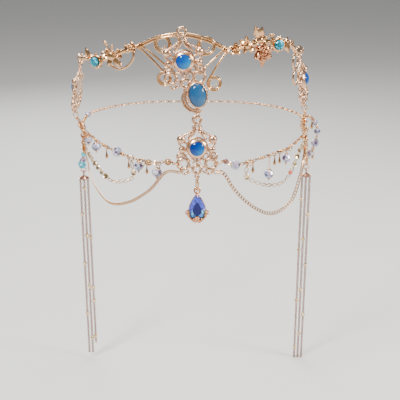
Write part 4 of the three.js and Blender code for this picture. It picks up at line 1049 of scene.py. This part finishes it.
def bead_chain(name):
    line, made = hung(name)
    skip = [(line.length * s - 0.8 * r, line.length * s + 0.8 * r)
            for s, drop, r in CRYSTALS[name] if not drop]
    links(made, line, -LAP, line.length + LAP, 3.4, 2.3, 0.52, 90, skip=skip)
    disc = [(0, -0.3), (1.8, -0.3), (2.15, 0.1), (1.7, 0.5), (1.1, 0.4), (0.7, 0.8), (0, 0.9)]
    forms = {"disc": (lathe(disc, 20), moved(0, 0, 0.5)), "ball": (ball(1.35, 14), moved()),
             "ring": (torus(1.9, 0.4, 22), moved(0, -0.6, 0))}
    for kind, share in ((kind, share) for kind, shares in STRUNG[name].items() for share in shares):
        if kind == "stick":
            made.add(stick_form(), moved(*(line.share(share) + DOWN * 0.4)))
        else:
            made.add(forms[kind][0], facing_out(line, share) @ forms[kind][1])
    for share, drop, radius in CRYSTALS[name]:
        p = line.share(share)
        if drop:
            made.add(sweep([p, p + DOWN * (drop + radius + 0.2)], 0.3))
            made.add(ball(0.75, 10), moved(p.x, p.y, p.z - drop - radius - 0.6))
            made.add(lathe([(0, 0.5), (1.1, 0.1), (1.3, -0.35), (0, -0.4)], 14),
                     moved(p.x, p.y, p.z - drop + 0.86 * radius + 0.45))
            made.add(torus(0.75, 0.25, 14, 6), basis(ACROSS, UP, V((0, -1, 0)), p + DOWN * 0.9))
        else:
            for end_side in (-1, 1):
                cap = threaded(line, share) @ moved(0, 0, end_side * (0.86 * radius + 0.25))
                made.add(ball(0.85, 12, 0.5), cap)
    made.make(f"{name}_links", [f"{name}_chain"])
    for n, (share, drop, radius) in enumerate(CRYSTALS[name], 1):
        place = moved(*(line.share(share) + DOWN * drop)) if drop else threaded(line, share)
        crystal(f"{name}_gem_{n}", radius, 20 * n + len(name), place, [f"{name}_crystal_{n}"])


# Sequins: small cupped discs with rims, linked edge to edge.
SEQUIN = Sizes(pitch=5.0, share={"left": (0.32, 0.66), "right": (0.08, 0.52)})


def sequin_chain(name):
    line, made = hung(name)
    total = round(line.length / SEQUIN.pitch)
    pitch = line.length / total
    first, last = SEQUIN.share[name.split("_")[0]]
    disc = lathe([(0, 0.15), (1.0, 0.2), (1.7, 0.45), (2.0, 0.2), (1.95, -0.1), (1.5, -0.25), (0, -0.4)], 20)
    for i in range(total):
        d = (i + 0.5) * pitch
        place = seat_on(line, d - 0.5, d + 0.5, lean=True)
        share = d / line.length
        if first < share < last or i == total - 2:
            made.add(disc, place @ turned(14 * sin(2.1 * i), "X"))
        else:
            made.add(oval(4.4, 2.6, 0.6, 14, 6), place @ turned(20 * sin(1.7 * i), "X"))
    for i in range(total + 1):
        d = min(max(i * pitch, 0.3), line.length - 0.3)
        made.add(oval(2.4, 1.8, 0.45, 12, 6), seat_on(line, d - 0.3, d + 0.3) @ turned(90, "X"))
    made.make(f"{name}_discs", [f"{name}_chain"], IVORY)


# Curb chain: flat oval links that all lie turned the same way
def curb_chain(name):
    line, made = hung(name)
    shape = (2.9, 2.3, 0.6, 24) if name.startswith("left") else (3.7, 2.7, 0.62, 30)
    links(made, line, -LAP, line.length + LAP, *shape, count=14)
    made.make(f"{name}_links", [f"{name}_chain"])


for side in ("left", "right"):
    bead_chain(f"{side}_bead")
    sequin_chain(f"{side}_sequin")
    curb_chain(f"{side}_curb")


# Side chains with their strand of crystals, beads and foot rings
STRAND = route([SIDE["right"].share(0.17), *ROUTES["right_strand"], SIDE["right"].share(0.91)])
STRAND_CRYSTALS = [(0.36, 2.1), (0.52, 2.3), (0.7, 2.9), (0.88, 2.6)]
LEFT_BEADS = [(0.75, 2.1, (0.05, 0.5, 0.6)), (0.87, 2.3, None)]


def outwards(side):
    return lambda p: (-1 if side == "left" else 1, -0.6, 0)


def foot_of(side):
    return SIDE[side].share(1)


# Spare rings and short ends of chain that crowd the side chains where the swags join them
def cluster(made, line, side):
    chance = random.Random(8 if side == "left" else 9)
    for i in range(20):
        p = line.share(0.2 + 0.5 * i / 19)
        shift = V((chance.uniform(-1.6, 1.6), chance.uniform(-2.2, 1.6), chance.uniform(-1, 1)))
        place = moved(*(p + shift)) @ turned(chance.uniform(0, 180), "Z")
        place = place @ turned(chance.uniform(40, 140), "X")
        made.add(torus(chance.uniform(1.2, 1.9), 0.4, 16, 6), place)
        if i % 4 == 1:
            made.add(ball(1.2, 12), moved(*(p + V((-shift.x, shift.y - 0.6, 0)))))


def side_chain(side):
    line = SIDE[side]
    made = Piece()
    out = PLAQUES[side].to_3x3() @ V((0, 0, 1))
    made.add(ring_in(top_ring(side), DOWN, out))
    links(made, line, -0.4, line.length + 0.4, 3.6, 2.7, 0.7, 90, outwards(side), 14, 6)
    cluster(made, line, side)
    made.add(ring_in(foot_of(side) + DOWN * HANG.ring, DOWN, ACROSS, HANG.ring, HANG.wire))
    if side == "right":
        skip = [(STRAND.length * s - 0.85 * r, STRAND.length * s + 0.85 * r) for s, r in STRAND_CRYSTALS]
        links(made, STRAND, 0, STRAND.length, 3.0, 2.2, 0.55, 90, outwards(side), skip=skip)
        made.add(stick_form(), moved(*(STRAND.share(0.24) + DOWN * 0.4)))
        made.add(stick_form(), moved(*(STRAND.share(0.8) + V((0, -1.2, 0.4)))))
    else:
        spacer = lathe([(0, -0.5), (1.0, -0.35), (1.25, 0), (1.0, 0.35), (0, 0.5)], 14)
        for share in (0.7, 0.81, 0.93):
            made.add(spacer, moved(*line.share(share)))
    made.make(f"{side}_side_links", [f"{side}_side_chain"])


for side in ("left", "right"):
    side_chain(side)
for n, (share, radius) in enumerate(STRAND_CRYSTALS, 1):
    crystal(f"right_strand_gem_{n}", radius, 70 + n, threaded(STRAND, share), [f"right_strand_crystal_{n}"])
for n, (share, radius, color) in enumerate(LEFT_BEADS, 1):
    name, nodes = f"left_side_gem_{n}", [f"left_side_bead_{n}"]
    place = threaded(SIDE["left"], share)
    if color:
        bead(name, ball(radius, 20, 0.92), place, color, "turquoise_glass", nodes)
    else:
        crystal(name, radius, 90 + n, place, nodes)


# Small extra stones at the sides: a white bead and a turquoise flower on the left
LEFT_FLOWER = Sizes(at=(-84.9, 5.4, -41.2), bearing=-24, petal=1.45, reach=2.0)
made = Piece(facing(V(LEFT_FLOWER.at), LEFT_FLOWER.bearing))
for i in range(6):
    tone = 0.75 + 0.35 * (i % 2)
    place = moved(*polar(LEFT_FLOWER.reach, pi * i / 3))
    made.add(ball(LEFT_FLOWER.petal, 14, 0.9), place, (0.03 * tone, 0.42 * tone, 0.55 * tone))
made.add(ball(1.2, 12), moved(0, 0, 0.9), (0.25, 0.75, 0.85))
made.make("left_bead_flower", (), PEARL, "turquoise_glass")
bead("left_white_bead", ball(1.9, 18), moved(-83.2, 1.2, -20.5), (0.93, 0.91, 0.86))
bead("right_coral_bead", ball(1.5, 14), moved(*swag("right_sequin").share(0.56)), (0.78, 0.14, 0.08))
bead("right_brown_bead", ball(1.7, 16), moved(*swag("right_bead").share(0.96)), (0.2, 0.07, 0.04))

# Tassels: a ring, a ribbed cap and three strands of fine links with small beads
TASSEL = {"left": 147.6, "right": 154, "spread": 2.8, "cap": 2.6}
TASSEL_ENDS = {"left": {-1: 1, 0: 1, 1: 0.94}, "right": {-1: 1, 0: 1, 1: 1}}
STRAND_BALLS = {
    "left": {-1: [0.19, 0.47, 0.76], 0: [0.05, 0.31, 0.6, 0.91], 1: [0.34, 0.65, 0.73, 0.955]},
    "right": {-1: [0.12, 0.39, 0.67, 0.94], 0: [0.33, 0.61, 0.86], 1: [0.2, 0.47, 0.75]},
}


def tassel(side):
    foot = foot_of(side) + DOWN * 2 * HANG.ring
    ring = foot + DOWN * (LINK.ring - HUNG_BITE)
    top = ring + DOWN * LINK.ring
    made, beads = Piece(), Piece()
    made.add(ring_in(ring, DOWN, (0, 1, 0)))
    cap, reach = TASSEL["cap"], TASSEL["spread"] + 1
    bell = [(0, -cap), (reach - 0.4, -cap), (reach - 0.1, -cap + 0.4), (0.7 * reach, -0.5 * cap),
            (0.8, -0.2), (0, 0.3)]
    made.add(lathe(bell, 28), moved(*top))
    for i in range(14):
        rib = [polar(r, tau * i / 14, z)
               for r, z in ((1.0, -0.3), (0.76 * reach, -0.54 * cap), (reach, -cap + 0.4))]
        made.add(sweep(rib, [0.15, 0.25, 0.3], 6), moved(*top))
    for place in (-1, 0, 1):
        head = top + V((place * TASSEL["spread"], 0, -2.6))
        length = TASSEL[side] * TASSEL_ENDS[side][place]
        line = Route([head, head + DOWN * length])
        links(made, line, -0.2, length - 0.4, 2.9, 2.2, 0.55, 90, lambda p: (0.6, -1, 0), 8, 5)
        for share in STRAND_BALLS[side][place]:
            beads.add(ball(1.6, 12), moved(*line.share(share)))
        made.add(ball(0.55, 10), moved(*line.share(0.996)))
    made.make(f"{side}_tassel_strands", [f"{side}_tassel"], COPPER, "rose_gold")
    beads.make(f"{side}_tassel_beads", (), IVORY)


for side in ("left", "right"):
    tassel(side)

# Back chain and clasp
CLASP = Sizes(length=9)
reach_of_clasp = CLASP.length / 2 + 2 * HANG.ring + 2 * LINK.ring - HUNG_BITE
clasp_bearing = 180 - math.degrees(reach_of_clasp / BACK.half_width)
clasp_middle = on_plan(BACK, 180, BACK.height - BACK.sag)


def back_chain(side):
    sign = -1 if side == "left" else 1
    start = start_of(f"{side}_back")
    points = [past(start)]
    for share in (0.1, 0.3, 0.5, 0.7, 0.9, 1):
        bearing = BACK.start + (clasp_bearing - BACK.start) * share
        points.append(on_plan(BACK, sign * bearing, BACK.height - BACK.sag * share))
    line = route(points)
    made = Piece()
    made.add(end_ring(start))
    end = clasp_middle + ACROSS * sign * (CLASP.length / 2 + 2 * HANG.ring - HUNG_BITE + LINK.ring)
    made.add(ring_in(end, ACROSS, (0, 1, 0)))
    links(made, line, -LAP, line.length + LAP, 2.9, 2.1, 0.52, 90, lambda p: (p.x, p.y, 0), 12, 5)
    for share in (0.04, 0.075, 0.11):
        made.add(ball(1.3, 12), moved(*line.share(share)))
    made.make(f"{side}_back_links", [f"{side}_back_chain"])
    return line


left_back = back_chain("left")
back_chain("right")
crystal("left_back_gem", 2.1, 5, threaded(left_back, 0.17))
made = Piece(moved(*clasp_middle))
half = CLASP.length / 2
end = [(0, 0.4), (0.8, 0.4), (1.1, -0.2), (1.1, -1.0), (0.95, -1.2), (1.1, -1.5)]
barrel = [(r, -half - z) for r, z in end] + [(r, half + z) for r, z in end[::-1]]
made.add(lathe(barrel, 24), turned(90, "Y"))
for sign in (-1, 1):
    made.add(ring_in(ACROSS * sign * (half + HANG.ring), ACROSS, UP, HANG.ring, HANG.wire))
made.make("clasp_barrel", ["back_clasp"])

# Pear drop: jump ring, long link, faceted stone in a pronged setting. Heights are below the eyelet's band.
DROP_AT = facing(eye_of("lower", 0.025), 0)
PEAR = Sizes(half=5.4, length=17.0, depth=4.4, table=0.52)
DROP = Sizes(jump=-0.65, link_top=-1.3, link_foot=-7.7, ring=-7.8, pear_top=-10.45)
middle = DROP.pear_top - PEAR.length / 2


def pear_outline(scale, grow, z, count=36, shift=0.0):
    corners = []
    for i in range(count):
        a = tau * (i + shift) / count
        x = PEAR.half * sin(a) * sin(a / 2) / 0.77
        y = PEAR.length / 2 * cos(a)
        away = math.hypot(x, y) or 1
        corners.append(V((-x * scale * (1 + grow / away), middle + y * scale * (1 + grow / away), z)))
    return corners


def pear_stone():
    made = Piece(DROP_AT)
    z = -PEAR.depth / 2
    levels = [(0.5, 0.0), (0.86, 0.24), (1.0, 0.42), (1.0, 0.5), (0.8, 0.78), (PEAR.table, 1.0)]
    rows = [pear_outline(scale, 0, z + up * PEAR.depth, 18, 0.5 if n == 4 else 0)
            for n, (scale, up) in enumerate(levels)]
    verts, faces = loft(rows, split=3)
    tints = []
    chance = random.Random(11)
    # Painted light in the facet tints: faces towards the tip are a lighter blue, and brightness is chosen at
    # random per face for painted glints and dark facets.
    for face in faces[:-2]:
        low = sum(verts[k].y for k in face) / len(face) < middle - 1.5
        tone = chance.choice((0.5, 0.8, 1.1, 2.4)) if low else chance.uniform(0.6, 1.35)
        color = (0.09, 0.30, 0.80) if low else (0.09, 0.11, 0.58)
        tints.append(tuple(min(1, tone * part) for part in color))
    # The back face and the table are painted dark: painted shade.
    tints += [(0.02, 0.03, 0.2), (0.008, 0.012, 0.12)]
    made.add((verts, faces), None, lambda i: tints[i])
    made.make("pear_gem", ["pear_stone"], STONE_GLASS, "sapphire_glass", body="pear_drop", smooth=0)


def pear_setting():
    made = Piece(DROP_AT)
    z = -PEAR.depth / 2
    made.add(loft([pear_outline(0.74, 0, z - 1.2), pear_outline(0.74, 0, z - 0.35)]))
    made.add(sweep(pear_outline(1, -0.4, z - 0.3), 0.5, 8, True))
    foot = [corner for corner in pear_outline(1, 0.15, 0.55) if corner.y < middle - 2.6]
    made.add(sweep(foot, swell(0.4, 0.5, len(foot))))
    band = [(1.25, -0.15), (1.75, -0.35), (2.25, -0.15), (2.3, 0), (2.25, 0.15), (1.75, 0.35), (1.25, 0.15),
            (1.2, 0), (1.25, -0.15)]
    made.add(lathe(band, 28), moved(0, DROP.ring, 0))
    post = DROP.pear_top + 0.7
    made.add(sweep([(0, post, 0.2), (0, post, z + 0.2), (0, post - 2.2, z - 0.7)], [0.45, 0.5, 0.5]))
    made.add(sweep([(0, post, 0.2), (0, post - 0.5, 1.2), (0, post - 1.6, 1.75)], [0.5, 0.42, 0.3]))
    for side in (-1, 1):
        x, y = side * (PEAR.half + 0.75), middle - 3.2
        claw = [(side * 3.5, y, z - 0.75), (x - side * 0.4, y, z - 0.6), (x, y, z + 0.6), (x, y, 0.5),
                (x - side * 0.5, y, 1.15), (x - side * 1.4, y, 1.5)]
        made.add(sweep(claw, [0.5, 0.8, 1.0, 1.1, 1.05, 0.6]))
        made.add(ball(1.4, 14), moved(x - side * 0.1, y, 0.8))
        grip = [corner for corner in pear_outline(1, 0.1, 0.9)
                if corner.x * side > 0 and abs(corner.y - y) < 2.4]
        made.add(sweep(grip, 1.0, 10))
    low = middle - PEAR.length / 2 - 0.85
    for side in (-1, 1):
        claw = [(0, low + 3, z - 0.75), (side * 0.6, low + 0.2, z - 0.6), (side * 0.9, low + 0.1, z + 0.8),
                (side * 1.2, low + 0.2, 0.6), (side * 0.9, low + 1.2, 1.5), (side * 0.55, low + 3.2, 2.35),
                (side * 0.4, low + 4.6, 2.75)]
        made.add(sweep(claw, [0.5, 0.8, 0.95, 1.05, 1.0, 0.85, 0.6]))
        made.add(ball(1.6, 14, 0.8), moved(side * 2.0, low + 1.5, 1.0))
    made.make("pear_claws", ["pear_setting"], ROSE, "rose_gold", body="pear_drop")


pear_stone()
pear_setting()
ring = torus(LINK.ring, 0.42, 28)
made = Piece(DROP_AT).add(ring, moved(0, DROP.jump, 0) @ turned(70, "Y"))
made.make("drop_ring", ["drop_jump_ring"], body="drop_link")
span = DROP.link_top - DROP.link_foot
long_link = oval(span + 0.8, 3.4, 0.95, 28, 8)
place = moved(0, (DROP.link_top + DROP.link_foot) / 2, 0) @ turned(-55, "Y") @ turned(90, "Z")
Piece(DROP_AT).add(long_link, place).make("drop_long_link", ["drop_link"], body="drop_link")
